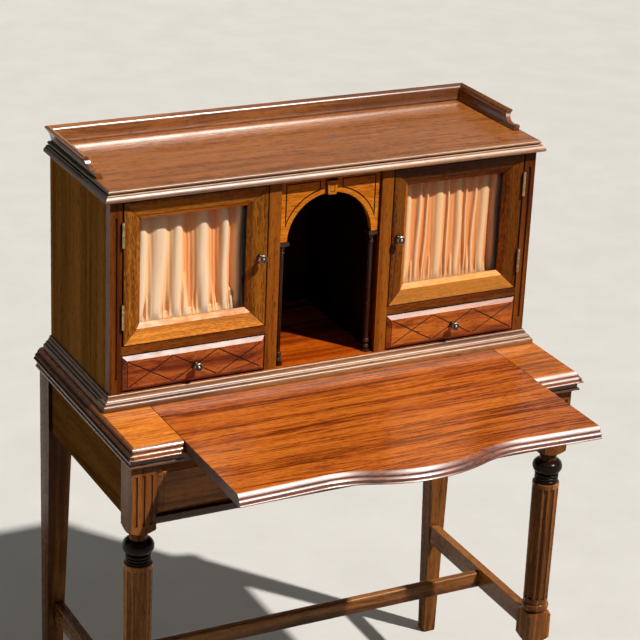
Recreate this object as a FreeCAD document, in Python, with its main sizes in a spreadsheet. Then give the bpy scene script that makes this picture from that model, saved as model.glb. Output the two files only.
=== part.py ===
"""Bonheur du jour: a small writing desk with a pull-out slide, a frieze drawer and a cupboard hutch.

X runs to the sitter's right, Y to the back and Z up. The origin lies on the floor under the middle
of the desk as it stands with its writing slide drawn out. Lengths are millimetres. Most pieces are
drawn from the datum point: the middle of the hutch's front face, at the level of the writing top.
"""
import FreeCAD
import Part
import math
import os
import re

import Sketcher
from FreeCAD import Placement, Rotation, Vector

# Driving dimensions, by the piece that carries them
SIZES = {
    "desk_height": 750,
    "running_gap": 0.3,
    "overrun": 2,
    # writing top: two fixed end boards
    "top_half_width": 430.5,
    "top_front": 164.5,
    "top_back": 285,
    "top_thickness": 20,
    "top_edge_width": 13.3,
    "top_end_width": 98.25,
    # writing slide with its serpentine front
    "slide_side_gap": 0.5,
    "slide_crown": 386,
    "slide_swell_radius": 260,
    "slide_swell_angle": 21.5,
    "slide_hollow_radius": 213,
    "slide_flank_angle": 2.3,
    "slide_edge_width": 12.5,
    "slide_tail": 36,
    "slide_travel": 213,
    "slide_tail_gap": 2,
    "slide_stop_length": 90,
    "slide_stop_width": 20,
    "slide_stop_height": 20,
    "slide_stop_gap": 38,
    # legs
    "leg_size": 44.5,
    "leg_overhang": 11.25,
    "front_leg_set": 124,
    "rear_leg_set": 262.5,
    "leg_block_length": 145,
    "leg_shoulder_height": 8,
    "leg_neck_diameter": 31,
    "leg_neck_length": 15,
    "leg_ring_diameter": 52,
    "leg_ring_height": 26,
    "leg_collar_diameter": 44.5,
    "leg_collar_height": 6,
    "leg_shaft_diameter": 48.5,
    "leg_shaft_foot_diameter": 45,
    "leg_shaft_length": 246,
    "leg_lower_collar_height": 18,
    "leg_flute_diameter": 10.4,
    "leg_flute_margin": 9,
    "stretcher_block_length": 62,
    "foot_top_diameter": 40,
    "foot_ring_height": 12,
    "foot_neck_height": 14,
    "foot_diameter": 25,
    "block_flute_width": 5,
    "block_flute_pitch": 13.2,
    "block_flute_top": 37,
    "block_flute_length": 91,
    "rear_taper_start": 130,
    "rear_foot_size": 24.5,
    # aprons, rails and stretchers
    "apron_thickness": 20,
    "apron_height": 128,
    "apron_inset": 6.5,
    "back_apron_inset": 3,
    "rail_inset": 2,
    "rail_depth": 40,
    "upper_rail_height": 24,
    "lower_rail_height": 14,
    "lower_rail_round": 5,
    "bearer_width": 62,
    "frieze_opening_height": 92,
    "runner_ledge": 20,
    "guide_height": 36,
    "stretcher_thickness": 16,
    "stretcher_height": 38,
    "cross_stretcher_height": 30,
    "cross_stretcher_round": 5,
    # moulding under the end boards
    "under_moulding_height": 17,
    "under_moulding_side": 8.25,
    "under_moulding_front": 13.15,
    # hutch carcass
    "hutch_margin": 30.5,
    "hutch_depth": 277,
    "hutch_height": 381.7,
    "hutch_top_thickness": 22.2,
    "hutch_side_thickness": 21.2,
    "stile_depth": 18,
    "stile_flute_width": 5,
    "stile_flute_margin": 26,
    "floor_level": 25.5,
    "floor_thickness": 16,
    "plinth_depth": 22,
    "back_thickness": 8,
    "niche_width": 190,
    "partition_thickness": 22,
    "divider_level": 92.5,
    "divider_thickness": 15,
    "base_moulding_height": 24,
    "base_moulding_width": 15.2,
    "cornice_height": 18.4,
    "cornice_width": 12.2,
    # gallery round the hutch top
    "gallery_side_set": 11.5,
    "gallery_back_set": 17,
    "gallery_width": 20.5,
    "gallery_height": 27.5,
    "gallery_toe_set": 61,
    "gallery_toe_height": 9,
    "gallery_toe_length": 10,
    "gallery_nose_set": 92,
    # niche
    "arch_reveal": 15,
    "arch_crown": 28.5,
    "arch_panel_set": 5,
    "arch_panel_thickness": 12,
    "arch_line_width": 2.2,
    "arch_line_depth": 1.5,
    "arch_band_width": 8.5,
    "arch_line_margin": 5,
    "arch_line_side": 3.5,
    "arch_line_stop": 10,
    "keystone_foot_width": 15,
    "keystone_head_width": 20.5,
    "keystone_height": 24,
    "keystone_dip": 2,
    "keystone_proud": 5,
    "keystone_border": 3,
    "keystone_sink": 0.8,
    "column_diameter": 17,
    "column_wall_gap": 1,
    "impost_height": 6.5,
    "impost_depth": 20,
    "column_base_height": 27,
    "column_capital_height": 17,
    "column_flute_width": 1.6,
    # cupboard doors
    "hinge_gap": 2.4,
    "door_free_gap": 1.5,
    "door_foot_gap": 0.8,
    "door_head_gap": 1.5,
    "door_thickness": 19,
    "door_face_width": 25.8,
    "door_face_slope": 5,
    "door_lip_width": 8,
    "door_lip_depth": 12,
    "door_lip_land": 1,
    "door_rebate": 28,
    "glass_thickness": 3,
    "glass_gap": 0.4,
    "curtain_set": 7,
    "curtain_lap": 8,
    "curtain_hem_lap": 5,
    "curtain_fold_pitch": 34,
    "curtain_fold_depth": 12,
    "curtain_cloth": 1.2,
    "curtain_rod_diameter": 3.2,
    "curtain_rod_lap": 14,
    # butt hinges
    "hinge_length": 44,
    "hinge_leaf_thickness": 1,
    "hinge_leaf_depth": 14,
    "hinge_knuckle_diameter": 5.2,
    "hinge_pin_diameter": 2.4,
    "hinge_pin_clearance": 0.05,
    "hinge_axis_proud": 3,
    "hinge_margin": 53.3,
    # small drawers and the frieze drawer
    "drawer_side_gap": 1,
    "drawer_foot_gap": 1.5,
    "drawer_head_gap": 2.5,
    "drawer_edge_set": 1,
    "drawer_raise": 7,
    "drawer_bevel": 7,
    "drawer_step": 1.2,
    "drawer_front_thickness": 12,
    "drawer_wall": 8,
    "drawer_floor_thickness": 4,
    "drawer_floor_rise": 4,
    "drawer_wall_drop": 6,
    "drawer_depth": 250,
    "lattice_groove_width": 3.2,
    "lattice_groove_depth": 1.1,
    "lattice_groove_angle": 45,
    "frieze_side_gap": 2.5,
    "frieze_head_gap": 2,
    "frieze_foot_gap": 2.5,
    "frieze_edge_set": 6,
    "frieze_raise": 6,
    "frieze_bevel": 10,
    "frieze_front_thickness": 16,
    "frieze_wall": 10,
    "frieze_floor_thickness": 5,
    "frieze_depth": 360,
    "frieze_knob_spread": 200,
    # turned knobs
    "knob_diameter": 16.5,
    "knob_projection": 17,
    "knob_base_diameter": 11,
    "knob_base_thickness": 2,
    "knob_neck_diameter": 7,
    "knob_inset": 12.5,
}

# Counts of what repeats
LEG_COLLARS = 3
LEG_FLUTES = 12
BLOCK_FLUTES = 3
COLUMN_FLUTES = 8
LATTICE_BAYS = 3

# Sizes worked out from the driving ones
DERIVED = {
    "slide_bay": "top_half_width - top_end_width",
    "slide_half_width": "slide_bay - slide_side_gap",
    "hutch_half_width": "top_half_width - hutch_margin",
    "leg_outside": "top_half_width - leg_overhang",
    "leg_half_spread": "leg_outside - leg_size / 2",
    "swell_x": "slide_swell_radius * sin(slide_swell_angle)",
    "swell_y": "slide_crown - slide_swell_radius * (1 - cos(slide_swell_angle))",
    "hollow_x": "swell_x + slide_hollow_radius * (sin(slide_swell_angle) + sin(slide_flank_angle))",
    "hollow_y": "swell_y - slide_hollow_radius * (cos(slide_flank_angle) - cos(slide_swell_angle))",
    "slide_stop_edge": "leg_half_spread - leg_size / 2 - bearer_width - slide_stop_gap",
    "slide_corner": "hollow_y + (slide_half_width - hollow_x) * tan(slide_flank_angle)",
    "gallery_overhang": "gallery_width - gallery_back_set",
    "back_reach": "max(top_back; hutch_depth + gallery_overhang)",
    "face_y": "(slide_crown + slide_edge_width - back_reach) / 2",
    "leg_length": "desk_height - top_thickness",
    "leg_neck_end": "leg_block_length + leg_neck_length",
    "leg_ring_end": "leg_neck_end + leg_ring_height",
    "leg_collar_end": f"leg_ring_end + leg_collar_height * {LEG_COLLARS}",
    "leg_shaft_end": "leg_collar_end + leg_shaft_length",
    "stretcher_block_top": "leg_shaft_end + leg_lower_collar_height",
    "foot_start": "stretcher_block_top + stretcher_block_length",
    "stretcher_level": "top_thickness + stretcher_block_top + stretcher_block_length / 2",
    "rear_taper": "(leg_size - rear_foot_size) / (leg_length - rear_taper_start)",
    "leg_inside": "leg_half_spread - leg_size / 2",
    "leg_front": "front_leg_set + leg_size / 2",
    "front_leg_back": "front_leg_set - leg_size / 2",
    "rear_leg_front": "rear_leg_set - leg_size / 2",
    "apron_inside": "leg_outside - apron_inset - apron_thickness",
    "rail_front": "leg_front - rail_inset",
    "rail_back": "rail_front - rail_depth",
    "back_apron_front": "rear_leg_set + leg_size / 2 - back_apron_inset - apron_thickness",
    "frieze_head": "top_thickness + upper_rail_height",
    "frieze_foot": "frieze_head + frieze_opening_height",
    "hutch_inside": "hutch_half_width - hutch_side_thickness",
    "hutch_underside": "hutch_height - hutch_top_thickness",
    "arch_radius": "niche_width / 2 - arch_reveal",
    "arch_spring": "hutch_underside - arch_radius - arch_crown",
    "back_face": "hutch_depth - back_thickness",
    "partition_outside": "niche_width / 2 + partition_thickness",
    "divider_top": "divider_level + divider_thickness",
    "door_hinge_x": "hutch_inside - hinge_gap",
    "door_free_x": "partition_outside + door_free_gap",
    "door_foot": "divider_top + door_foot_gap",
    "door_head": "hutch_underside - door_head_gap",
    "door_member": "door_face_width + door_lip_width",
    "glass_front": "door_lip_depth + door_lip_land",
    "hinge_x": "hutch_inside - hinge_gap / 2",
    "hinge_low_level": "door_foot + hinge_margin",
    "hinge_high_level": "door_head - hinge_margin",
    "drawer_middle": "(hutch_inside + partition_outside) / 2",
    "drawer_foot": "floor_level + drawer_foot_gap",
    "drawer_head": "divider_level - drawer_head_gap",
    "gallery_half": "hutch_half_width - gallery_side_set",
    "gallery_back_in": "hutch_depth - gallery_back_set",
    "column_x": "niche_width / 2 - column_wall_gap - column_diameter / 2",
    "column_y": "arch_panel_set + column_diameter / 2",
    "curtain_low": "door_foot + door_member - curtain_hem_lap",
    "curtain_high": "door_head - door_member + curtain_hem_lap",
}

# Moulding outlines: shares of the width out and of the height, then the arc's bulge
# (tangent of a quarter of its angle, positive where the arc turns to the left)
EDGE_SHARES = [
    (0, 0, 0), (0.46, 0.3, 0.1), (0.46, 0.44, 0), (0.52, 0.44, 0), (0.8, 0.6, 0.12), (0.8, 0.82, 0),
    (0.86, 0.82, 0), (1, 0.9, 0.15), (1, 0.95, 0), (0.8, 1, 0.2),
]
BASE_SHARES = [
    (0, 0, 0), (0, 1, 0), (0.08, 1, 0), (0.24, 0.9, 0.35), (0.24, 0.8, 0), (0.34, 0.8, 0), (0.52, 0.6, -0.22),
    (0.58, 0.6, 0), (0.72, 0.5, 0.35), (0.72, 0.42, 0), (0.8, 0.42, 0), (1, 0.24, 0.3), (1, 0, 0),
]
CORNICE_SHARES = [
    (0, 0, 0), (0, 1, 0), (0.22, 1, 0), (0.42, 0.86, 0.3), (0.42, 0.79, 0), (0.1, 0.79, 0), (0.1, 0.66, 0),
    (0.46, 0.66, 0), (0.6, 0.56, 0.35), (0.6, 0.52, 0), (0.66, 0.52, 0), (0.97, 0.26, 0.12), (1, 0.2, 0),
    (1, 0.1, 0), (0.88, 0, 0.2),
]
GALLERY_SHARES = [
    (0, 0, 0), (0.02, 0.1, 0), (0.32, 0.66, -0.1), (0.8, 0.99, 0.3), (1, 0.86, 0.35), (0.56, 0.1, -0.18),
    (0.54, 0, 0),
]
UNDER_SHARES = [(0, 0, 0), (0, 1, 0), (0.62, 1, 0), (0.62, 0.36, 0), (0.62, 0, 0.9)]
QUARTER_TURN = math.tan(math.pi / 8)
RING_BULGE = 0.75
COLLAR_BULGE = 0.7
FLUTE_END_SHARE = 0.5

doc = FreeCAD.newDocument("BonheurDuJour")
SHEET_OF = {alias: "Sizes" for alias in SIZES}
SHEET_OF.update({alias: "Derived" for alias in DERIVED})
nodes = []


def ref(expression, home=None):
    """Puts the sheet's name before each alias of an expression, except on the home sheet."""
    def full(match):
        word = match.group()
        if word not in SHEET_OF or SHEET_OF[word] == home:
            return word
        return f"{SHEET_OF[word]}.{word}"
    return re.sub(r"[a-z][a-z_]*", full, str(expression))


def fill_sheet(name, rows):
    sheet = doc.addObject("Spreadsheet::Sheet", name)
    for row, (alias, content) in enumerate(rows.items(), start=1):
        sheet.set(f"A{row}", alias)
        sheet.set(f"B{row}", str(content))
        sheet.setAlias(f"B{row}", alias)
    doc.recompute()
    return sheet


sizes = fill_sheet("Sizes", SIZES)
derived = fill_sheet("Derived", {alias: "=" + ref(text, "Derived") for alias, text in DERIVED.items()})


def value(expression):
    return float(derived.evalExpression(ref(expression, "Derived")))


def tie(piece, **properties):
    """Binds properties to expressions; two underscores stand for a dot."""
    for name, expression in properties.items():
        piece.setExpression(name.replace("__", "."), ref(expression))


def place(piece, x, y, z):
    """Places a piece from the datum point."""
    tie(piece, Placement__Base__x=x, Placement__Base__y=f"face_y + {y}", Placement__Base__z=f"desk_height + {z}")


def keep(piece, label=None):
    """Marks a piece as a node of the finished assembly."""
    if label:
        piece.Label = label
    nodes.append(piece)
    return piece


def board(label, x, y, z):
    """A plain board between a low and a high place on each axis."""
    piece = doc.addObject("Part::Box", label)
    piece.Label = label
    tie(piece, Length=f"({x[1]}) - ({x[0]})", Width=f"({y[1]}) - ({y[0]})", Height=f"({z[1]}) - ({z[0]})")
    place(piece, f"({x[0]})", f"({y[0]})", f"({z[0]})")
    return piece


def rod(label, diameter, length, x, y, z, turn=None):
    """A cylinder that starts at a place and runs up, or along the direction it is turned to."""
    piece = doc.addObject("Part::Cylinder", label)
    piece.Label = label
    tie(piece, Radius=f"({diameter}) / 2", Height=length)
    if turn:
        piece.Placement = Placement(Vector(), turn)
    place(piece, f"({x})", f"({y})", f"({z})")
    return piece


def body(label, x="0", y="0", z="0"):
    piece = doc.addObject("PartDesign::Body", label)
    piece.Label = label
    place(piece, f"({x})", f"({y})", f"({z})")
    return piece


def group(label, pieces):
    """Several separate solids that make one node."""
    piece = doc.addObject("Part::Compound", label)
    piece.Label = label
    piece.Links = pieces
    return piece


def joined(label, pieces):
    piece = doc.addObject("Part::MultiFuse", label)
    piece.Label = label
    piece.Shapes = pieces
    return piece


def mirrored(label, source, normal=(1, 0, 0), x="0", z="0"):
    """The twin of a piece across an upright or level plane."""
    piece = doc.addObject("Part::Mirroring", label)
    piece.Label = label
    piece.Source = source
    piece.Normal = Vector(*normal)
    tie(piece, Base__x=x, Base__z=z)
    return piece


def pair(stem, source):
    """Keeps a left-hand piece and its right-hand twin."""
    keep(source, f"{stem}_left")
    return keep(mirrored(f"{stem}_right", source))


def origin_feature(owner, role):
    return next(feature for feature in owner.Origin.OriginFeatures if feature.Role == role)


def arc_or_line(start, end, bulge):
    """The sketch edge between two points, as a line or as an arc drawn to the left."""
    if not bulge:
        return Part.LineSegment(Vector(*start), Vector(*end))
    chord = Vector(*end) - Vector(*start)
    radius = chord.Length * (1 + bulge ** 2) / (4 * abs(bulge))
    to_centre = Vector(-chord.y, chord.x).normalize() * (1 - bulge ** 2) / (4 * bulge) * chord.Length
    centre = Vector(*start) + chord * 0.5 + to_centre
    first, last = (start, end) if bulge > 0 else (end, start)
    angles = [math.atan2(point[1] - centre.y, point[0] - centre.x) for point in (first, last)]
    return Part.ArcOfCircle(Part.Circle(centre, Vector(0, 0, 1), radius), *angles)


def outline(owner, plane, points, offset=None, closed=True):
    """A sketch through points (across, up) or (across, up, bulge), each tied to the sheet."""
    sketch = owner.newObject("Sketcher::SketchObject", f"{owner.Name}_outline")
    sketch.AttachmentSupport = [(origin_feature(owner, plane), "")]
    sketch.MapMode = "FlatFace"
    if offset:
        tie(sketch, AttachmentOffset__Base__z=offset)
    points = [(*point, 0)[:3] for point in points]
    spots = [(value(across), value(up)) for across, up, _ in points]
    ends = list(range(len(points))) if closed else list(range(1, len(points)))
    for end in ends:
        sketch.addGeometry(arc_or_line(spots[end - 1], spots[end], points[end][2]), False)

    def foot_and_head(end):
        return (2, 1) if points[end][2] < 0 else (1, 2)

    def lock(edge, vertex, end):
        for kind, axis in (("DistanceX", 0), ("DistanceY", 1)):
            index = sketch.addConstraint(Sketcher.Constraint(kind, -1, 1, edge, vertex, spots[end][axis]))
            sketch.setExpression(f"Constraints[{index}]", ref(points[end][axis]))

    for edge, end in enumerate(ends):
        foot, head = foot_and_head(end)
        lock(edge, head, end)
        if edge + 1 < len(ends) or closed:
            after = (edge + 1) % len(ends)
            sketch.addConstraint(Sketcher.Constraint("Coincident", edge, head, after, foot_and_head(ends[after])[0]))
        bulge = points[end][2]
        if bulge:
            across = f"(({points[end][0]}) - ({points[end - 1][0]}))"
            up = f"(({points[end][1]}) - ({points[end - 1][1]}))"
            factor = (1 + bulge ** 2) / (4 * abs(bulge))
            radius = f"sqrt({across} * {across} + {up} * {up}) * {factor}"
            index = sketch.addConstraint(Sketcher.Constraint("Radius", edge, value(radius)))
            sketch.setExpression(f"Constraints[{index}]", ref(radius))
    if not closed:
        lock(0, foot_and_head(ends[0])[0], 0)
    return sketch


def pad(owner, sketch, length, side="One side", back=False):
    feature = owner.newObject("PartDesign::Pad", f"{owner.Name}_pad")
    feature.Profile = sketch
    feature.SideType = side
    feature.Reversed = back
    tie(feature, Length=length)
    return feature


def cut_through(owner, sketch):
    """Cuts a sketch right through the body, to both sides of its plane."""
    feature = owner.newObject("PartDesign::Pocket", f"{owner.Name}_cut")
    feature.Profile = sketch
    feature.SideType = "Symmetric"
    feature.Type = "ThroughAll"
    return feature


def turned(owner, sketch, kind="Revolution"):
    """Turns a profile about the sketch's upright axis."""
    feature = owner.newObject(f"PartDesign::{kind}", f"{owner.Name}_turning")
    feature.Profile = sketch
    feature.ReferenceAxis = (sketch, ["V_Axis"])
    feature.Angle = 360
    return feature


def loft(owner, first, last):
    feature = owner.newObject("PartDesign::AdditiveLoft", f"{owner.Name}_loft")
    feature.Profile = first
    feature.Sections = [last]
    feature.Ruled = True
    return feature


def repeat_round(owner, feature, count):
    pattern = owner.newObject("PartDesign::PolarPattern", f"{owner.Name}_round")
    pattern.Originals = [feature]
    pattern.Axis = (origin_feature(owner, "Z_Axis"), [""])
    pattern.Angle = 360
    pattern.Occurrences = count
    owner.Tip = pattern


def repeat_along(owner, feature, axis, length, count):
    pattern = owner.newObject("PartDesign::LinearPattern", f"{owner.Name}_row")
    pattern.Originals = [feature]
    pattern.Direction = (origin_feature(owner, axis), [""])
    pattern.Occurrences = count
    tie(pattern, Length=length)
    owner.Tip = pattern


def round_cut(owner, diameter, length, x, y, z, lean="0"):
    """A half-round flute: a cylinder sunk along the surface, leaning in by an angle as it goes down."""
    feature = owner.newObject("PartDesign::SubtractiveCylinder", f"{owner.Name}_flute")
    feature.Placement = Placement(Vector(), Rotation(Vector(0, 1, 0), 180))
    tie(feature, Radius=f"({diameter}) / 2", Height=length)
    tie(feature, Placement__Base__x=x, Placement__Base__y=y, Placement__Base__z=z)
    tie(feature, Placement__Rotation__Angle=f"180 + {lean}")
    return feature


def rectangle(x, y):
    return [(x[0], y[0]), (x[1], y[0]), (x[1], y[1]), (x[0], y[1])]


def section(shares, width, height, across="0", up="0", out="-"):
    """Moulding outline from its shares: out from a face and up from a level."""
    turn = 1 if out == "-" else -1
    return [(f"{across} {out} {u} * ({width})", f"{up} + {w} * ({height})", turn * bulge)
            for u, w, bulge in shares]


def mitre(owner, plane, corner, run, keep_side):
    """Cuts the waste beyond a mitre that leaves a corner along run, on the side away from keep_side."""
    (x, y), (dx, dy) = corner, run
    near = (f"({x}) - ({dx}) / 4", f"({y}) - ({dy}) / 4")
    far = (f"({x}) + ({dx}) * 5 / 4", f"({y}) + ({dy}) * 5 / 4")
    square = (far[0], near[1]) if keep_side == "across" else (near[0], far[1])
    cut_through(owner, outline(owner, plane, [near, far, square]))


def front_leg():
    """Square block, turned neck and rings, fluted shaft, stretcher block and turned foot."""
    leg = body("front_leg_left", "-leg_half_spread", "-front_leg_set", "-top_thickness")
    half = ("-leg_size / 2", "leg_size / 2")
    pad(leg, outline(leg, "XY_Plane", rectangle(half, half)), "leg_block_length", back=True)
    pad(leg, outline(leg, "XY_Plane", rectangle(half, half), offset="-stretcher_block_top"),
        "stretcher_block_length", back=True)
    seat = "leg_size * 0.47"
    collar_root = "leg_collar_diameter * 0.44"
    profile = [
        ("0", "-leg_block_length"), (seat, "-leg_block_length"),
        ("leg_neck_diameter / 2", "-leg_block_length - leg_neck_length * 0.8", 0.3),
        ("leg_neck_diameter / 2", "-leg_neck_end"), ("leg_ring_diameter * 0.33", "-leg_neck_end"),
        ("leg_ring_diameter * 0.33", "-leg_ring_end", -RING_BULGE),
        (collar_root, "-leg_ring_end"),
    ]
    for collar in range(1, LEG_COLLARS + 1):
        profile.append((collar_root, f"-leg_ring_end - leg_collar_height * {collar}", -COLLAR_BULGE))
    profile += [
        ("leg_shaft_diameter * 0.47", "-leg_collar_end"),
        ("leg_shaft_diameter / 2", "-leg_collar_end - leg_shaft_diameter * 0.03", -QUARTER_TURN),
        ("leg_shaft_foot_diameter / 2", "-leg_shaft_end"),
        ("leg_shaft_foot_diameter * 0.42", "-leg_shaft_end"),
        ("leg_shaft_foot_diameter * 0.42", "-stretcher_block_top", -COLLAR_BULGE),
        ("0", "-stretcher_block_top"),
    ]
    turned(leg, outline(leg, "XZ_Plane", profile))
    foot = [
        ("0", "-foot_start"), (seat, "-foot_start"),
        ("foot_diameter / 2", "-foot_start - foot_neck_height", 0.3),
        ("foot_top_diameter / 2", "-foot_start - foot_neck_height"),
        ("foot_top_diameter / 2", "-foot_start - foot_neck_height - foot_ring_height", -COLLAR_BULGE / 2),
        ("foot_top_diameter * 0.45", "-foot_start - foot_neck_height - foot_ring_height"),
        ("foot_diameter / 2", "-leg_length"), ("0", "-leg_length"),
    ]
    turned(leg, outline(leg, "XZ_Plane", foot))
    corner = "leg_size * 0.75"
    for level, rise in (("-leg_block_length", "+"), ("-stretcher_block_top", "-"), ("-foot_start", "+")):
        waste = [(seat, level), (corner, level), (corner, f"{level} {rise} leg_shoulder_height")]
        turned(leg, outline(leg, "XZ_Plane", waste), "Groove")
    doc.recompute()
    lean = "atan((leg_shaft_diameter - leg_shaft_foot_diameter) / 2 / leg_shaft_length) / 1 deg"
    flute = round_cut(leg, "leg_flute_diameter", "leg_shaft_length - 2 * leg_flute_margin",
                      "leg_shaft_diameter / 2 + leg_flute_diameter * 0.2", "0",
                      "-leg_collar_end - leg_flute_margin", lean)
    repeat_round(leg, flute, LEG_FLUTES)
    groove = round_cut(leg, "block_flute_width", "block_flute_length", "-block_flute_pitch", "-leg_size / 2",
                       "-block_flute_top")
    repeat_along(leg, groove, "X_Axis", "2 * block_flute_pitch", BLOCK_FLUTES)
    return leg


def rear_leg():
    """Square leg whose two inner faces taper below the apron."""
    leg = body("rear_leg_left", "-leg_half_spread", "rear_leg_set", "-top_thickness")
    square = rectangle(("-leg_size / 2", "leg_size / 2"), ("-leg_size / 2", "leg_size / 2"))
    pad(leg, outline(leg, "XY_Plane", square), "rear_taper_start", back=True)
    foot = rectangle(("-leg_size / 2", "-leg_size / 2 + rear_foot_size"),
                     ("leg_size / 2 - rear_foot_size", "leg_size / 2"))
    loft(leg, outline(leg, "XY_Plane", square, offset="-rear_taper_start"),
         outline(leg, "XY_Plane", foot, offset="-leg_length"))
    return leg


def side_stretcher():
    """Rail between a front leg's block and the tapered face of the rear leg."""
    rail = body("side_stretcher_left", "-leg_half_spread")
    low = "-stretcher_level - stretcher_height / 2"
    high = "-stretcher_level + stretcher_height / 2"
    start = "-top_thickness - rear_taper_start"
    ends = [f"rear_leg_front + rear_taper * ({start} - ({level}))" for level in (low, high)]
    points = [("-front_leg_back", low), (ends[0], low), (ends[1], high), ("-front_leg_back", high)]
    pad(rail, outline(rail, "YZ_Plane", points), "stretcher_thickness", "Symmetric")
    return rail


def cross_stretcher():
    """Middle rail of the H, with both top edges rounded."""
    rail = body("cross_stretcher", y="(rear_leg_set - front_leg_set) / 2")
    half = "stretcher_thickness / 2"
    low = "-stretcher_level - stretcher_height / 2"
    high = f"{low} + cross_stretcher_height"
    points = [
        (f"-{half}", low), (half, low), (half, f"{high} - cross_stretcher_round"),
        (f"{half} - cross_stretcher_round", high, QUARTER_TURN),
        (f"-{half} + cross_stretcher_round", high), (f"-{half}", f"{high} - cross_stretcher_round", QUARTER_TURN),
    ]
    pad(rail, outline(rail, "YZ_Plane", points), "2 * leg_half_spread - stretcher_thickness", "Symmetric")
    return rail


def lower_rail():
    rail = body("front_lower_rail")
    low = "-frieze_foot - lower_rail_height"
    points = [
        ("-leg_front", f"{low} + lower_rail_round"), ("-leg_front + lower_rail_round", low, QUARTER_TURN),
        ("-rail_back", low), ("-rail_back", "-frieze_foot"), ("-leg_front", "-frieze_foot"),
    ]
    pad(rail, outline(rail, "YZ_Plane", points), "2 * leg_inside", "Symmetric")
    return rail


def drawer_runner():
    """Ledge under a frieze drawer side, with the guide that keeps the drawer straight."""
    rail = body("drawer_runner_left", y="-front_leg_back")
    guide = "-leg_inside + frieze_side_gap - running_gap"
    points = [
        ("-apron_inside", "-frieze_foot - lower_rail_height"), (f"{guide} + runner_ledge", "-frieze_foot - lower_rail_height"),
        (f"{guide} + runner_ledge", "-frieze_foot"), (guide, "-frieze_foot"),
        (guide, "-frieze_foot + guide_height"), ("-apron_inside", "-frieze_foot + guide_height"),
    ]
    pad(rail, outline(rail, "XZ_Plane", points), "front_leg_back + rear_leg_front", back=True)
    return rail


def top_end():
    """Fixed end board of the writing top, moulded along its side and its front."""
    end = body("top_end_left")
    plan = rectangle(("-top_half_width", "-slide_bay"), ("-top_front", "top_back"))
    pad(end, outline(end, "XY_Plane", plan), "top_thickness", back=True)
    for plane, lip in (("YZ_Plane", "-top_front"), ("XZ_Plane", "-top_half_width")):
        edge = section(EDGE_SHARES, "top_edge_width", "-top_thickness", f"{lip} + top_edge_width")
        waste = edge + [
            (edge[-1][0], "-top_thickness - overrun"), (f"{lip} - overrun", "-top_thickness - overrun"),
            (f"{lip} - overrun", "overrun"), (edge[0][0], "overrun"),
        ]
        cut_through(end, outline(end, plane, waste))
    return end


def writing_slide():
    """Sliding leaf with a serpentine moulded front."""
    slide = body("writing_slide")
    swell = math.tan(math.radians(value("slide_swell_angle")) / 2)
    hollow = -math.tan(math.radians(value("slide_swell_angle + slide_flank_angle")) / 4)
    front = [
        ("-hollow_x", "-hollow_y"), ("-swell_x", "-swell_y", hollow), ("swell_x", "-swell_y", swell),
        ("hollow_x", "-hollow_y", hollow),
    ]
    plan = [("-slide_half_width", "slide_tail"), ("-slide_half_width", "-slide_corner")] + front
    plan += [("slide_half_width", "-slide_corner"), ("slide_half_width", "slide_tail")]
    pad(slide, outline(slide, "XY_Plane", plan), "top_thickness", back=True)
    past = "slide_half_width + overrun"
    past_y = "-slide_corner - overrun * tan(slide_flank_angle)"
    path = outline(slide, "XY_Plane", [(f"-({past})", past_y)] + front + [(past, past_y)], closed=False)
    edge = section(EDGE_SHARES, "slide_edge_width", "-top_thickness", past_y)
    edge.append((past_y, "-top_thickness"))
    profile = outline(slide, "YZ_Plane", edge, offset=f"-({past})")
    moulding = slide.newObject("PartDesign::AdditivePipe", "writing_slide_edge")
    moulding.Profile = profile
    moulding.Spine = (path, [])
    ahead = "-slide_crown - slide_edge_width - overrun"
    for side in ("-", ""):
        trim = rectangle((f"{side}slide_half_width", f"{side}({past} + overrun)"), (ahead, "slide_tail"))
        cut_through(slide, outline(slide, "XY_Plane", trim))
    return slide


def under_moulding():
    """Band and bead under an end board: a side strip and a short front strip, mitred together."""
    corner = ("-leg_outside", "-leg_front")
    run = ("-under_moulding_side", "-under_moulding_front")
    low = "-top_thickness - under_moulding_height"
    side = body("under_moulding_side_left")
    points = section(UNDER_SHARES, "under_moulding_side", "under_moulding_height", corner[0], low)
    pad(side, outline(side, "XZ_Plane", points, offset="leg_front + under_moulding_front"),
        "leg_front + under_moulding_front + top_back", back=True)
    mitre(side, "XY_Plane", corner, run, "upright")
    front = body("under_moulding_front_left", x="-leg_outside - under_moulding_side")
    points = section(UNDER_SHARES, "under_moulding_front", "under_moulding_height", corner[1], low)
    pad(front, outline(front, "YZ_Plane", points), "leg_outside + under_moulding_side - slide_bay")
    mitre(front, "XY_Plane", ("under_moulding_side", corner[1]), run, "across")
    return side, front


def wrap_moulding(stem, shares, width, height, level):
    """Moulding round the front and sides of the hutch: three strips mitred at the corners."""
    half = "hutch_half_width"
    side = body(f"{stem}_side_left")
    points = section(shares, width, height, f"-{half}", level)
    pad(side, outline(side, "XZ_Plane", points, offset=width), f"{width} + hutch_depth", back=True)
    mitre(side, "XY_Plane", (f"-{half}", "0"), (f"-{width}", f"-{width}"), "upright")
    front = body(f"{stem}_front")
    points = section(shares, width, height, "0", level)
    pad(front, outline(front, "YZ_Plane", points), f"2 * ({half} + {width})", "Symmetric")
    for side_sign in ("-", ""):
        mitre(front, "XY_Plane", (f"{side_sign}{half}", "0"), (f"{side_sign}{width}", f"-{width}"), "across")
    return group(stem, [side, mirrored(f"{stem}_side_right", side), front])


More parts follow.
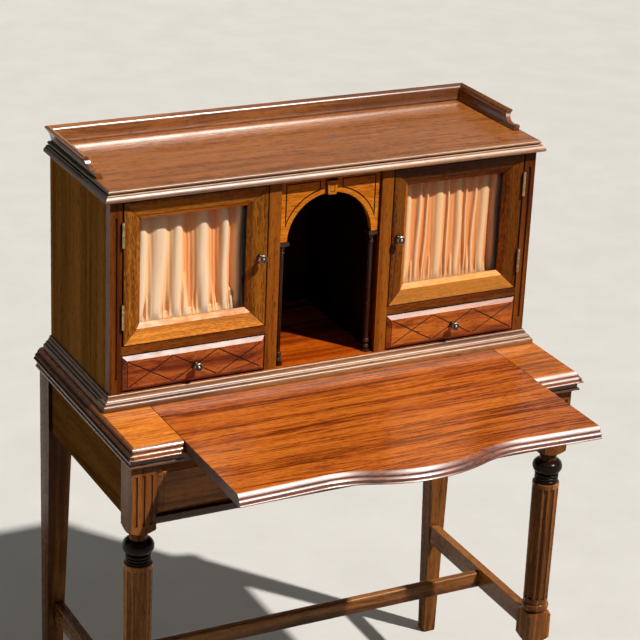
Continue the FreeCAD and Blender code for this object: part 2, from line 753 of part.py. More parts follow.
def gallery():
    """Three-quarter gallery: mitred back corners and scroll-cut front ends."""
    back = body("gallery_back", z="hutch_height")
    points = section(GALLERY_SHARES, "gallery_width", "gallery_height", "gallery_back_in", out="+")
    pad(back, outline(back, "YZ_Plane", points), "2 * (gallery_half + gallery_width)", "Symmetric")
    for sign in ("-", ""):
        mitre(back, "XY_Plane", (f"{sign}gallery_half", "gallery_back_in"),
              (f"{sign}gallery_width", "gallery_width"), "across")
    side = body("gallery_left", z="hutch_height")
    points = section(GALLERY_SHARES, "gallery_width", "gallery_height", "-gallery_half")
    pad(side, outline(side, "XZ_Plane", points, offset="-gallery_toe_set"),
        "gallery_back_in + gallery_width - gallery_toe_set", back=True)
    mitre(side, "XY_Plane", ("-gallery_half", "gallery_back_in"), ("-gallery_width", "gallery_width"), "upright")
    above = "gallery_height + overrun"
    scroll = [
        ("gallery_toe_set - overrun", "gallery_toe_height"),
        ("gallery_toe_set + gallery_toe_length", "gallery_toe_height"),
        ("gallery_nose_set + gallery_toe_length", "gallery_height * 0.72", 0.36),
        ("gallery_nose_set + gallery_toe_length", above, -0.12), ("gallery_toe_set - overrun", above),
    ]
    cut_through(side, outline(side, "YZ_Plane", scroll))
    return back, side


def corner_stile():
    """Front corner post of the hutch, with one stopped flute."""
    post = body("corner_stile_left", "-hutch_half_width")
    plan = rectangle(("0", "hutch_side_thickness"), ("0", "stile_depth"))
    pad(post, outline(post, "XY_Plane", plan), "hutch_underside")
    round_cut(post, "stile_flute_width", "hutch_underside - base_moulding_height - 2 * stile_flute_margin",
              "hutch_side_thickness / 2", "0", "hutch_underside - stile_flute_margin")
    return post


def spandrel(sign, inset):
    """Outline of the field between the arch band, the side, the head and the keystone."""
    radius = f"(arch_radius + arch_band_width + {inset})"
    side = f"(arch_radius + arch_band_width - arch_line_side - {inset})"
    stop = f"(keystone_head_width / 2 + arch_line_stop + {inset})"
    head = f"hutch_underside - arch_line_margin - {inset}"
    sweep = math.acos(value(f"{stop} / {radius}")) - math.acos(value(f"{side} / {radius}"))
    turn = math.tan(sweep / 4)
    return [
        (f"{sign}{side}", head), (f"{sign}{stop}", head),
        (f"{sign}{stop}", f"arch_spring + sqrt({radius} * {radius} - {stop} * {stop})"),
        (f"{sign}{side}", f"arch_spring + sqrt({radius} * {radius} - {side} * {side})", turn if sign else -turn),
    ]


def arch_panel():
    """Arched head of the niche, with an incised line round each spandrel."""
    panel = body("arch_panel")
    half = "niche_width / 2"
    points = [
        (f"-{half}", "arch_spring"), ("-arch_radius", "arch_spring"),
        ("0", "arch_spring + arch_radius", -QUARTER_TURN), ("arch_radius", "arch_spring", -QUARTER_TURN),
        (half, "arch_spring"), (half, "hutch_underside"), (f"-{half}", "hutch_underside"),
    ]
    pad(panel, outline(panel, "XZ_Plane", points, offset="-arch_panel_set"), "arch_panel_thickness", back=True)
    doc.recompute()
    for sign in ("-", ""):
        field = panel.newObject("PartDesign::Pocket", "arch_panel_line")
        field.Profile = outline(panel, "XZ_Plane", spandrel(sign, "0"), offset="-arch_panel_set")
        tie(field, Length="arch_line_depth")
        inner = outline(panel, "XZ_Plane", spandrel(sign, "arch_line_width"), offset="-arch_panel_set - arch_line_depth")
        pad(panel, inner, "arch_line_depth")
    return panel


def keystone():
    stone = body("keystone")
    low = "arch_spring + arch_radius - keystone_dip"
    points = [
        ("-keystone_foot_width / 2", low), ("keystone_foot_width / 2", low),
        ("keystone_head_width / 2", f"{low} + keystone_height"), ("-keystone_head_width / 2", f"{low} + keystone_height"),
    ]
    pad(stone, outline(stone, "XZ_Plane", points, offset="-arch_panel_set"), "keystone_proud")
    doc.recompute()
    edge = "(keystone_foot_width / 2 - keystone_border)"
    foot = f"{low} + keystone_border * 1.4"
    head = f"{low} + keystone_height - keystone_border * 1.8"
    arched = [(f"-{edge}", foot), (edge, foot), (edge, head), (f"-{edge}", head, QUARTER_TURN)]
    field = stone.newObject("PartDesign::Pocket", "keystone_field")
    field.Profile = outline(stone, "XZ_Plane", arched, offset="keystone_proud - arch_panel_set")
    tie(field, Length="keystone_sink")
    return stone


def niche_column():
    """Fluted column with ring base, ring capital and a square impost."""
    column = body("niche_column_left", "-column_x", "column_y", "floor_level")
    radius = "column_diameter / 2"
    top = "arch_spring - floor_level - impost_height"
    shaft = "column_diameter * 0.23"
    ring = "column_diameter * 0.26"
    neck = "column_diameter * 0.2"
    foot = "column_base_height"
    head = "column_capital_height"
    profile = [
        ("0", "0"), (radius, "0"), (radius, f"{foot} * 0.14"), (ring, f"{foot} * 0.14"),
        (ring, f"{foot} * 0.48", 0.4), (neck, f"{foot} * 0.48"), (neck, f"{foot} * 0.58"), (ring, f"{foot} * 0.58"),
        (ring, f"{foot} * 0.88", 0.4), (shaft, f"{foot} * 0.88"), (shaft, f"{top} - {head}"),
        (ring, f"{top} - {head}"), (ring, f"{top} - {head} * 0.64", 0.4), (neck, f"{top} - {head} * 0.64"),
        (neck, f"{top} - {head} * 0.52"), (ring, f"{top} - {head} * 0.52"), (ring, f"{top} - {head} * 0.16", 0.4),
        (radius, f"{top} - {head} * 0.1", -0.2), (radius, top), ("0", top),
    ]
    turned(column, outline(column, "XZ_Plane", profile))
    across = ("-column_diameter / 2 - column_wall_gap", "column_diameter / 2 + column_wall_gap")
    deep = ("-column_diameter / 2 - column_wall_gap", "impost_depth - column_diameter / 2")
    pad(column, outline(column, "XY_Plane", rectangle(across, deep), offset=top), "impost_height")
    doc.recompute()
    flute = round_cut(column, "column_flute_width", f"{top} - {head} - {foot} - 2 * column_flute_width",
                      shaft, "0", f"{top} - {head} - column_flute_width")
    repeat_round(column, flute, COLUMN_FLUTES)
    return column


def door_frame():
    """Four mitred members: a sloping face, a deep lip round the glass and a rebate behind."""
    low, high = "door_foot", "door_head"
    hinge_side, free_side = "-door_hinge_x", "-door_free_x"

    def member(start):
        return [
            (start, "0"), (f"{start} + door_face_width", "door_face_slope"),
            (f"{start} + door_member", "door_lip_depth"), (f"{start} + door_member", "glass_front"),
            (f"{start} + door_rebate", "glass_front"), (f"{start} + door_rebate", "door_thickness"),
            (start, "door_thickness"),
        ]

    stile = body("door_stile_hinge_left")
    pad(stile, outline(stile, "XY_Plane", member(hinge_side), offset=low), f"{high} - {low}")
    mitre(stile, "XZ_Plane", (hinge_side, low), ("door_member", "door_member"), "across")
    mitre(stile, "XZ_Plane", (hinge_side, high), ("door_member", "-door_member"), "across")
    rail = body("door_rail_foot_left", hinge_side)
    turned_member = [(deep, across) for across, deep in member(low)]
    pad(rail, outline(rail, "YZ_Plane", turned_member), f"{free_side} - ({hinge_side})")
    mitre(rail, "XZ_Plane", ("0", low), ("door_member", "door_member"), "upright")
    mitre(rail, "XZ_Plane", (f"{free_side} - ({hinge_side})", low), ("-door_member", "door_member"), "upright")
    other_stile = mirrored("door_stile_free_left", stile, x=f"({hinge_side} + {free_side}) / 2")
    head_rail = mirrored("door_rail_head_left", rail, (0, 0, 1), z=f"desk_height + ({low} + {high}) / 2")
    return group("door_frame_left", [stile, other_stile, rail, head_rail])


def door_glass():
    lap = "(door_rebate + glass_gap)"
    return board("door_glass_left", (f"-door_hinge_x + {lap}", f"-door_free_x - {lap}"),
                 ("glass_front", "glass_front + glass_thickness"), (f"door_foot + {lap}", f"door_head - {lap}"))


def curtain():
    """Gathered curtain behind the glass: folds drawn tighter at the foot than at the head."""
    left = value("-door_hinge_x + door_member - curtain_lap")
    right = value("-door_free_x - door_member + curtain_lap")
    front = value("door_thickness + curtain_set")
    deep = value("curtain_fold_depth")
    cloth = value("curtain_cloth")
    folds = max(1, round((right - left) / value("curtain_fold_pitch")))
    pitch_shares = [1.0, 0.8, 1.15, 0.9, 1.2, 0.85, 1.1, 0.95, 1.05]
    foot_shares = [0.9, 1.1, 0.85, 1.15, 0.95, 1.1, 0.9, 1.1, 0.95]

    def fold_wire(shares, level, depth):
        total = sum(shares[fold % len(shares)] for fold in range(folds))
        knots = [left]
        for fold in range(folds):
            width = (right - left) * shares[fold % len(shares)] / total
            knots += [knots[-1] + width / 2, knots[-1] + width]
        middle = front + deep / 2
        edges = []
        for shift, order in ((0, 1), (cloth, -1)):
            spans = list(zip(range(len(knots)), knots, knots[1:]))[::order]
            for index, start, end in spans:
                sway = depth / 2 if index % 2 else -depth / 2
                points = [Vector(x, middle + shift + y, level)
                          for x, y in ((start, 0), ((start + end) / 2, sway), (end, 0))]
                edges.append(Part.Arc(*points[::order]).toShape())
            if order == 1:
                edges.append(Part.makeLine(Vector(right, middle, level), Vector(right, middle + cloth, level)))
        edges.append(Part.makeLine(Vector(left, middle + cloth, level), Vector(left, middle, level)))
        return Part.Wire(edges)

    low = fold_wire(foot_shares, value("curtain_low"), deep * 0.9)
    high = fold_wire(pitch_shares, value("curtain_high"), deep * 0.8)
    piece = doc.addObject("Part::Feature", "door_curtain_left")
    piece.Shape = Part.makeLoft([low, high], True, True)
    place(piece, "0", "0", "0")
    return piece


def curtain_rod(name, level):
    """Sash rod behind the door, with its two ends bent on to the frame."""
    start = "-door_hinge_x + door_member - curtain_rod_lap"
    end = "-door_free_x - door_member + curtain_rod_lap"
    deep = "door_thickness + curtain_set + curtain_fold_depth / 2"
    along = Rotation(Vector(0, 1, 0), 90)
    inward = Rotation(Vector(1, 0, 0), -90)
    bar = rod(f"{name}_bar", "curtain_rod_diameter", f"{end} - ({start})", start, deep, level, along)
    bends = [rod(f"{name}_bend_{index}", "curtain_rod_diameter", "curtain_set + (curtain_fold_depth + curtain_rod_diameter) / 2",
                 f"{x} {inset} curtain_rod_diameter / 2", "door_thickness", level, inward)
             for index, (x, inset) in enumerate(((start, "+"), (end, "-")))]
    return joined(name, [bar] + bends)


def hinge(name, level):
    """Butt hinge: a fixed leaf with two knuckles and the pin, and a moving leaf with the middle knuckle."""
    low = f"{level} - hinge_length / 2"
    third = "hinge_length / 3"
    axis_y = "-hinge_axis_proud"

    def leaf(part, x, webs):
        plate = board(f"{name}_{part}_plate", x, ("0", "hinge_leaf_depth"), (low, f"{low} + hinge_length"))
        pieces = [plate]
        for index, (start, end) in enumerate(webs):
            pieces.append(board(f"{name}_{part}_web_{index}", x, (axis_y, "0"), (start, end)))
            pieces.append(rod(f"{name}_{part}_knuckle_{index}", "hinge_knuckle_diameter", f"({end}) - ({start})",
                              "-hinge_x", axis_y, start))
        return pieces

    fixed_x = ("-hutch_inside", "-hutch_inside + hinge_leaf_thickness")
    fixed = leaf("fixed", fixed_x, [(low, f"{low} + {third}"), (f"{low} + 2 * {third}", f"{low} + hinge_length")])
    pin = rod(f"{name}_pin", "hinge_pin_diameter", "hinge_length", "-hinge_x", axis_y, low)
    moving_x = ("-door_hinge_x - hinge_leaf_thickness", "-door_hinge_x")
    middle = (f"{low} + {third} + running_gap", f"{low} + 2 * {third} - running_gap")
    moving = joined(f"{name}_moving_solid", leaf("moving", moving_x, [middle]))
    bore = rod(f"{name}_bore", "hinge_pin_diameter + 2 * hinge_pin_clearance", "hinge_length", "-hinge_x", axis_y, low)
    bored = doc.addObject("Part::Cut", f"{name}_moving")
    bored.Base = moving
    bored.Tool = bore
    return joined(f"{name}_fixed", fixed + [pin]), bored


def knob(label, x, y, z):
    """Turned knob with a ringed face, standing out to the front."""
    piece = body(label, x, y, z)
    head = "knob_diameter / 2"
    reach = "knob_projection"
    points = [
        ("0", "0"), ("knob_base_diameter / 2", "0"), ("knob_base_diameter / 2", "-knob_base_thickness"),
        ("knob_neck_diameter / 2", f"-{reach} * 0.24", -0.2), ("knob_neck_diameter / 2", f"-{reach} * 0.45"),
        (head, f"-{reach} * 0.68", 0.25), ("knob_diameter * 0.4", f"-{reach} * 0.88", -0.35),
        ("knob_diameter * 0.3", f"-{reach} * 0.84"), ("knob_diameter * 0.22", f"-{reach} * 0.86"),
        ("0", f"-{reach}", -0.2),
    ]
    turned(piece, outline(piece, "XY_Plane", points))
    return piece


def raised_front(label, x, z, edge, rise, bevel, thickness):
    """Drawer front with bevelled borders and a flat field that stands a step above them."""
    front = body(label)
    pad(front, outline(front, "XZ_Plane", rectangle(x, z), offset=f"-({edge})"), thickness, back=True)
    field_x = (f"{x[0]} + {bevel}", f"{x[1]} - {bevel}")
    field_z = (f"{z[0]} + {bevel}", f"{z[1]} - {bevel}")
    loft(front, outline(front, "XZ_Plane", rectangle(x, z), offset=f"-({edge})"),
         outline(front, "XZ_Plane", rectangle(field_x, field_z), offset=f"{rise} - drawer_step - ({edge})"))
    step_x = (f"{field_x[0]} + drawer_step", f"{field_x[1]} - drawer_step")
    step_z = (f"{field_z[0]} + drawer_step", f"{field_z[1]} - drawer_step")
    pad(front, outline(front, "XZ_Plane", rectangle(step_x, step_z), offset=f"{rise} - drawer_step - ({edge})"),
        "drawer_step")
    doc.recompute()
    return front, step_x, step_z


def cut_lattice(front, field_x, field_z, face):
    """Incised lattice: each bay of the field carries a saltire of two grooves."""
    bay = f"(({field_x[1]}) - ({field_x[0]})) / {LATTICE_BAYS}"
    low, high = field_z
    start, end = field_x[0], f"{field_x[0]} + {bay}"
    for left, right in ((low, high), (high, low)):
        bar = [
            (start, f"{left} - lattice_groove_width / 2"), (end, f"{right} - lattice_groove_width / 2"),
            (end, f"{right} + lattice_groove_width / 2"), (start, f"{left} + lattice_groove_width / 2"),
        ]
        groove = front.newObject("PartDesign::Pocket", f"{front.Name}_groove")
        groove.Profile = outline(front, "XZ_Plane", bar, offset=face)
        tie(groove, Length="lattice_groove_depth", TaperAngle="-lattice_groove_angle")
        repeat_along(front, groove, "X_Axis", f"({bay}) * {LATTICE_BAYS - 1}", LATTICE_BAYS)


def drawer_box(label, x, y, z, wall, floor):
    """Two sides, a back and a bottom as separate boards."""
    inside = (f"{x[0]} + {wall}", f"{x[1]} - {wall}")
    floor_low = f"{z[0]} + drawer_floor_rise"
    return group(label, [
        board(f"{label}_side_a", (x[0], inside[0]), y, z),
        board(f"{label}_side_b", (inside[1], x[1]), y, z),
        board(f"{label}_end", inside, (f"{y[1]} - {wall}", y[1]), z),
        board(f"{label}_floor", inside, (y[0], f"{y[1]} - {wall}"), (floor_low, f"{floor_low} + {floor}")),
    ])


def small_drawer():
    x = ("-hutch_inside + drawer_side_gap", "-partition_outside - drawer_side_gap")
    z = ("drawer_foot", "drawer_head")
    front, field_x, field_z = raised_front("small_drawer_front_left", x, z, "drawer_edge_set", "drawer_raise",
                                           "drawer_bevel", "drawer_front_thickness")
    cut_lattice(front, field_x, field_z, "drawer_raise - drawer_edge_set")
    behind = "drawer_edge_set + drawer_front_thickness"
    box = drawer_box("small_drawer_box_left", x, (behind, "drawer_depth"),
                     ("floor_level + running_gap", "drawer_head - drawer_wall_drop"), "drawer_wall",
                     "drawer_floor_thickness")
    pull = knob("small_drawer_knob_left", "-drawer_middle", "drawer_edge_set - drawer_raise",
                "(drawer_foot + drawer_head) / 2")
    return front, box, pull


def frieze_drawer():
    half = "leg_inside - frieze_side_gap"
    x = (f"-({half})", half)
    edge = "frieze_edge_set - leg_front"
    front, _, _ = raised_front("frieze_drawer_front", x, ("-frieze_foot + frieze_foot_gap", "-frieze_head - frieze_head_gap"),
                               edge, "frieze_raise", "frieze_bevel", "frieze_front_thickness")
    behind = f"{edge} + frieze_front_thickness"
    box = drawer_box("frieze_drawer_box", x, (behind, f"{behind} + frieze_depth"),
                     ("-frieze_foot + running_gap", "-frieze_head - frieze_head_gap - drawer_wall_drop"),
                     "frieze_wall", "frieze_floor_thickness")
    pulls = [knob(f"frieze_drawer_knob_{side}", f"{sign}frieze_knob_spread", f"{edge} - frieze_raise",
                  "-(frieze_head + frieze_foot) / 2") for side, sign in (("left", "-"), ("right", ""))]
    return front, box, group("frieze_drawer_knobs", pulls)


def build_table():
    pair("front_leg", front_leg())
    pair("rear_leg", rear_leg())
    apron_z = ("-top_thickness - apron_height", "-top_thickness")
    pair("side_apron", board("side_apron_left", ("-leg_outside + apron_inset", "-apron_inside"),
                             ("-front_leg_back", "rear_leg_front"), apron_z))
    keep(board("back_apron", ("-leg_inside", "leg_inside"),
               ("back_apron_front", "back_apron_front + apron_thickness"), apron_z))
    keep(board("front_upper_rail", ("-leg_inside", "leg_inside"), ("-rail_front", "-rail_back"),
               ("-frieze_head", "-top_thickness - running_gap")))
    keep(lower_rail())
    pair("side_stretcher", side_stretcher())
    keep(cross_stretcher())
    runner = drawer_runner()
    keep(group("drawer_runners", [runner, mirrored("drawer_runner_right", runner)]))
    bearer = board("slide_bearer_left", ("-leg_inside", "-leg_inside + bearer_width"),
                   ("-rail_back", "back_apron_front"), ("-frieze_head", "-top_thickness - running_gap"))
    keep(group("slide_bearers", [bearer, mirrored("slide_bearer_right", bearer)]))
    pair("top_end", top_end())
    keep(board("top_back_rail", ("-slide_bay", "slide_bay"),
               ("slide_tail + slide_travel + slide_tail_gap", "top_back"), ("-top_thickness", "0")))
    strips = under_moulding()
    keep(group("under_mouldings", [*strips, *(mirrored(f"{strip.Label}_twin", strip) for strip in strips)]))


def build_slide():
    keep(writing_slide())
    stop = board("slide_stop_left", ("-slide_stop_edge", "-slide_stop_edge + slide_stop_length"),
                 ("-rail_back + running_gap", "-rail_back + running_gap + slide_stop_width"),
                 ("-top_thickness - slide_stop_height", "-top_thickness"))
    keep(group("slide_stops", [stop, mirrored("slide_stop_right", stop)]))


def build_hutch():
    inside = ("-hutch_inside", "hutch_inside")
    pair("hutch_side", board("hutch_side_left", ("-hutch_half_width", "-hutch_inside"),
                             ("stile_depth", "hutch_depth"), ("0", "hutch_underside")))
    stile = corner_stile()
    keep(group("corner_stiles", [stile, mirrored("corner_stile_right", stile)]))
    keep(board("hutch_plinth", inside, ("0", "plinth_depth"), ("running_gap", "floor_level - floor_thickness")))
    keep(board("hutch_floor", inside, ("0", "back_face"), ("floor_level - floor_thickness", "floor_level")))
    keep(board("hutch_back", inside, ("back_face", "hutch_depth"), ("running_gap", "hutch_underside")))
    partition = board("partition_left", ("-partition_outside", "-niche_width / 2"), ("0", "back_face"),
                      ("floor_level", "hutch_underside"))
    keep(group("partitions", [partition, mirrored("partition_right", partition)]))
    divider = board("drawer_divider_left", ("-hutch_inside", "-partition_outside"), ("0", "back_face"),
                    ("divider_level", "divider_top"))
    keep(group("drawer_dividers", [divider, mirrored("drawer_divider_right", divider)]))
    keep(board("hutch_top", ("-hutch_half_width", "hutch_half_width"), ("0", "hutch_depth"),
               ("hutch_underside", "hutch_height")))
    keep(wrap_moulding("base_moulding", BASE_SHARES, "base_moulding_width", "base_moulding_height", "running_gap"))
    keep(wrap_moulding("cornice", CORNICE_SHARES, "cornice_width", "cornice_height", "hutch_height - cornice_height"))
    back, side = gallery()
    keep(back)
    pair("gallery_side", side)
    keep(arch_panel())
    keep(keystone())
    column = niche_column()
    keep(group("niche_columns", [column, mirrored("niche_column_right", column)]))


def build_doors():
    hinges = [hinge(f"hinge_{name}_left", f"hinge_{name}_level") for name in ("low", "high")]
    fixed = [leaves[0] for leaves in hinges]
    keep(group("fixed_hinge_leaves", fixed + [mirrored(f"{leaf.Label}_twin", leaf) for leaf in fixed]))
    pair("door_hinge_leaves", group("door_hinge_leaves_left", [leaves[1] for leaves in hinges]))
    pair("door_frame", door_frame())
    pair("door_glass", door_glass())
    pair("door_curtain", curtain())
    clear = "running_gap + curtain_rod_diameter / 2"
    rods = [curtain_rod("curtain_rod_foot_left", f"curtain_low - ({clear})"),
            curtain_rod("curtain_rod_head_left", f"curtain_high + {clear}")]
    pair("curtain_rods", group("curtain_rods_left", rods))
    seat = "door_face_slope * (knob_inset - knob_base_diameter / 2) / door_face_width"
    pair("door_knob", knob("door_knob_left", "-door_free_x - knob_inset", seat, "(door_foot + door_head) / 2"))


def build_drawers():
    for stem, piece in zip(("small_drawer_front", "small_drawer_box", "small_drawer_knob"), small_drawer()):
        pair(stem, piece)
    for piece in frieze_drawer():
        keep(piece)


def export():
    doc.recompute()
    for item in doc.Objects:
        if {"Invalid", "Error"} & set(item.State):
            raise RuntimeError(f"{item.Label} failed: {item.State}")
    os.makedirs("parts", exist_ok=True)
    for piece in nodes:
        shape = piece.Shape
        if shape.isNull() or not shape.isValid():
            raise RuntimeError(f"{piece.Label} has no valid shape")
        shape.exportStep(f"parts/{piece.Label}.step")
    print(len(nodes), "nodes written")


build_table()
build_slide()
build_hutch()
build_doors()
build_drawers()
export()
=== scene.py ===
"""Looks of the mahogany bonheur du jour: finishes, curtains, small fittings, camera and light."""

import math

import bpy
import numpy as np
from mathutils import Matrix, Vector


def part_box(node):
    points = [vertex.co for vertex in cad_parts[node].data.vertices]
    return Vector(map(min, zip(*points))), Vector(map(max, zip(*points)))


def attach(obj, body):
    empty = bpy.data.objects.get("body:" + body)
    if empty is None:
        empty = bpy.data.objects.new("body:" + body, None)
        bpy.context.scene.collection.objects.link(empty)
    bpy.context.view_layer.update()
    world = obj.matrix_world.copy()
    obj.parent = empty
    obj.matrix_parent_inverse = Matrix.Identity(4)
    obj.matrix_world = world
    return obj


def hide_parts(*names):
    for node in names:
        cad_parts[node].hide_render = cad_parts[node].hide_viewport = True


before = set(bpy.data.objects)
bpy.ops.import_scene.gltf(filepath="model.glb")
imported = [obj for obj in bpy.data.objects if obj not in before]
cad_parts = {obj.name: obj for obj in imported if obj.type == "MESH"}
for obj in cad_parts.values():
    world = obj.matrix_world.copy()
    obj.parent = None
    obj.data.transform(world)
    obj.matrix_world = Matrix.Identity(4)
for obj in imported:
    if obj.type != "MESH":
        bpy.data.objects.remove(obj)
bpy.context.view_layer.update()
scene = bpy.context.scene
MM = 0.001

# Datum of the hutch: middle of its front face, at the level of the writing top, in metres
FACE_Y = 0.05675
DESK_Z = 0.75
HUTCH_HALF = 0.4

# Places where a finish changes, in metres
UNDER_HALF = 0.41925
UNDER_FRONT = FACE_Y - 0.14625
LEG_RINGS = (0.5262, 0.5705)
DOOR_LIP_Y = FACE_Y + 5.2 * MM
NICHE_SHADE = (FACE_Y + 10 * MM, FACE_Y + 50 * MM)
ARRIS = 0.4 * MM
MOULDED_BELOW = DESK_Z - ARRIS

# Widths of lines, strips and borders, in metres
LINE_WIDTH = 1.4 * MM
MITRE_LINE = (0.3 * MM, 1.2 * MM)
# Band where the painted shadow on a door's head rail ends and the strip under it starts
HEAD_SHADOW_EDGE = (30 * MM, 27 * MM)
LATTICE_BORDER = 9 * MM
LATTICE_CUT = 0.55 * MM

# Colours of painted shade in hollows, gaps, grooves and the niche, of metal patina, dark mitres, ebonising
# and knob rings
HOLLOW_SHADE_AND_PATINA = (0.010, 0.003, 0.002)
GAP_SHADE = (0.012, 0.004, 0.002)
MITRE_DARK = (0.014, 0.005, 0.002)
NICHE_SHADE_COLOUR = (0.010, 0.004, 0.002)
GROOVE_SHADE = (0.008, 0.003, 0.002)
EBONY = (0.012, 0.006, 0.004)
KNOB_DARK = (0.020, 0.013, 0.010)

# How much paler or darker the colour is in some places, with painted light on the leg shafts and foot rails
# and painted shade on the dull edges
SHAFT_LIGHT_GAIN = (2.1, 2.4, 3.0)
FOOT_RAIL_LIGHT = (2.6, 2.5, 2.6)
MOULDED_GAIN = (0.45, 0.4, 0.5)
DULL_SHADE_GAIN = (0.35, 0.35, 0.35)
PORE_GAIN = 0.35

# Figure of the wood: how fine each pattern is along and across the grain, and its share of the whole
BROAD_STRIPES, BROAD_SHARE = (1.3, 26), 0.5
NARROW_STRIPES, NARROW_SHARE = (3.2, 105), 0.4
THREADS, THREAD_SHARE = (13, 330), 0.1
PITS = (60, 760)
WANDER = 0.03

# Surface of the wood: relief of the grain, reach of the shade in hollows and in cut lines, lost polish
GRAIN_RELIEF = 0.06 * MM
HOLLOW_REACH, CUT_REACH = 8 * MM, 3.4 * MM
MOULDED_ROUGHER, DULL_ROUGHER = 0.18, 0.4


class Finish:
    """A node material under construction; most methods add a node and return its output socket."""

    def __init__(self, name):
        self.material = bpy.data.materials.new(name)
        self.material.use_nodes = True
        self.nodes = self.material.node_tree.nodes
        self.links = self.material.node_tree.links
        self.shader = self.nodes["Principled BSDF"]

    def put(self, socket, value):
        if isinstance(value, bpy.types.NodeSocket):
            self.links.new(value, socket)
        else:
            socket.default_value = value

    def add(self, kind, output=0, settings=None, **inputs):
        node = self.nodes.new(kind)
        for name, value in (settings or {}).items():
            setattr(node, name, value)
        for name, value in inputs.items():
            self.put(node.inputs[name.replace("_", " ")], value)
        return node.outputs[output]

    def place(self):
        return self.add("ShaderNodeTexCoord", "Object")

    def split(self, vector):
        node = self.nodes.new("ShaderNodeSeparateXYZ")
        self.links.new(vector, node.inputs[0])
        return node.outputs

    def join(self, *parts):
        node = self.nodes.new("ShaderNodeCombineXYZ")
        for socket, part in zip(node.inputs, parts):
            self.put(socket, part)
        return node.outputs[0]

    def calc(self, operation, first, second=0.0):
        node = self.nodes.new("ShaderNodeMath")
        node.operation = operation
        self.put(node.inputs[0], first)
        self.put(node.inputs[1], second)
        return node.outputs[0]

    def away(self, value, middle):
        """Distance from a middle, to either side."""
        return self.calc("ABSOLUTE", self.calc("SUBTRACT", value, middle))

    def swing(self, noise, reach):
        """Noise turned into a move to either side."""
        return self.calc("MULTIPLY", self.calc("SUBTRACT", noise, 0.5), reach)

    def total(self, *weighted):
        """Sum of values, each times its weight."""
        parts = [self.calc("MULTIPLY", value, weight) for value, weight in weighted]
        whole = parts[0]
        for part in parts[1:]:
            whole = self.calc("ADD", whole, part)
        return whole

    def span(self, value, low, high, to_low=0.0, to_high=1.0):
        node = self.nodes.new("ShaderNodeMapRange")
        node.interpolation_type = "SMOOTHSTEP"
        for socket, part in zip(node.inputs, (value, low, high, to_low, to_high)):
            self.put(socket, part)
        return node.outputs[0]

    def stretch(self, vector, scale, shift=(0, 0, 0)):
        return self.add("ShaderNodeMapping", Vector=vector, Scale=scale, Location=shift)

    def noise(self, vector, scale=1.0, detail=2.0, roughness=0.5):
        return self.add("ShaderNodeTexNoise", "Fac", Vector=vector, Scale=scale, Detail=detail,
                        Roughness=roughness)

    def ramp(self, value, *stops):
        node = self.nodes.new("ShaderNodeValToRGB")
        self.links.new(value, node.inputs[0])
        points = node.color_ramp.elements
        while len(points) < len(stops):
            points.new(0.5)
        for point, (position, colour) in zip(points, stops):
            point.position = position
            point.color = (*colour, 1)
        return node.outputs[0]

    def blend(self, share, first, second, mode="MIX"):
        node = self.nodes.new("ShaderNodeMix")
        node.data_type = "RGBA"
        node.blend_type = mode
        self.put(node.inputs[0], share)
        for socket, value in ((node.inputs[6], first), (node.inputs[7], second)):
            self.put(socket, (*value, 1) if isinstance(value, tuple) else value)
        return node.outputs[2]

    def gain(self, share, colour, factor):
        """A colour made paler or darker by a factor, over a share of the surface."""
        return self.blend(share, colour, factor, "MULTIPLY")

    def pick(self, share, first, second):
        node = self.nodes.new("ShaderNodeMix")
        node.data_type = "VECTOR"
        self.put(node.inputs[0], share)
        self.put(node.inputs[4], first)
        self.put(node.inputs[5], second)
        return node.outputs[1]

    def bump(self, height, depth, strength):
        return self.add("ShaderNodeBump", Height=height, Distance=depth, Strength=strength)

    def seen(self):
        """1 for rays from the eye, from a reflection or through glass, 0 for light thrown on other things."""
        ray = self.nodes.new("ShaderNodeLightPath").outputs
        direct = self.calc("MAXIMUM", ray["Is Camera Ray"], ray["Is Glossy Ray"])
        return self.calc("MAXIMUM", direct, ray["Is Transmission Ray"])

    def surface(self, **inputs):
        for name, value in inputs.items():
            self.put(self.shader.inputs[name.replace("_", " ")], value)
        return self.material


def dress(material, *names):
    """Gives one finish to pieces of the desk."""
    for name in names:
        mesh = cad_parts[name].data
        mesh.materials.clear()
        mesh.materials.append(material)


def middle_and_half(node):
    """Middle of a piece's box and half its size."""
    low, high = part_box(node)
    return (low + high) / 2, (high - low) / 2


def inside_edges(finish, node):
    """How far a place on a piece's front lies in from the upright and from the level edges."""
    middle, half = middle_and_half(node)
    x, _, z = finish.split(finish.place())
    in_x = finish.calc("SUBTRACT", half.x, finish.away(x, middle.x))
    in_z = finish.calc("SUBTRACT", half.z, finish.away(z, middle.z))
    return in_x, in_z


def past_mitre(half, front):
    """Mask of a moulding's runs along the two sides, past the mitres."""
    def mask(finish):
        x, y, _ = finish.split(finish.place())
        out_side = finish.calc("SUBTRACT", finish.calc("ABSOLUTE", x), half)
        return finish.calc("GREATER_THAN", out_side, finish.calc("SUBTRACT", front, y))
    return mask


def past_end(limit, level):
    """Mask of the outer edges beyond a distance from the middle, below a level."""
    def mask(finish):
        x, _, z = finish.split(finish.place())
        beyond = finish.calc("GREATER_THAN", finish.calc("ABSOLUTE", x), limit)
        return finish.calc("MULTIPLY", beyond, finish.calc("LESS_THAN", z, level))
    return mask


def along(axis, shift):
    """Grain that runs straight along an axis: the first coordinate follows it."""
    def grain(finish):
        x, y, z = finish.split(finish.stretch(finish.place(), (1, 1, 1), shift))
        return finish.join(*{"x": (x, y, z), "y": (y, x, z), "z": (z, x, y)}[axis])
    return grain


def round_the_hutch(half, front, shift):
    """Grain that follows a moulding along the front and turns at the mitres to run along the sides."""
    def grain(finish):
        turned = past_mitre(half, front)(finish)
        return finish.pick(turned, along("x", shift)(finish), along("y", shift)(finish))
    return grain


def round_the_door(node, shift):
    """Grain that runs up the stiles and along the rails of a mitred frame."""
    def grain(finish):
        in_x, in_z = inside_edges(finish, node)
        stile = finish.calc("LESS_THAN", in_x, in_z)
        return finish.pick(stile, along("x", shift)(finish), along("z", shift)(finish))
    return grain


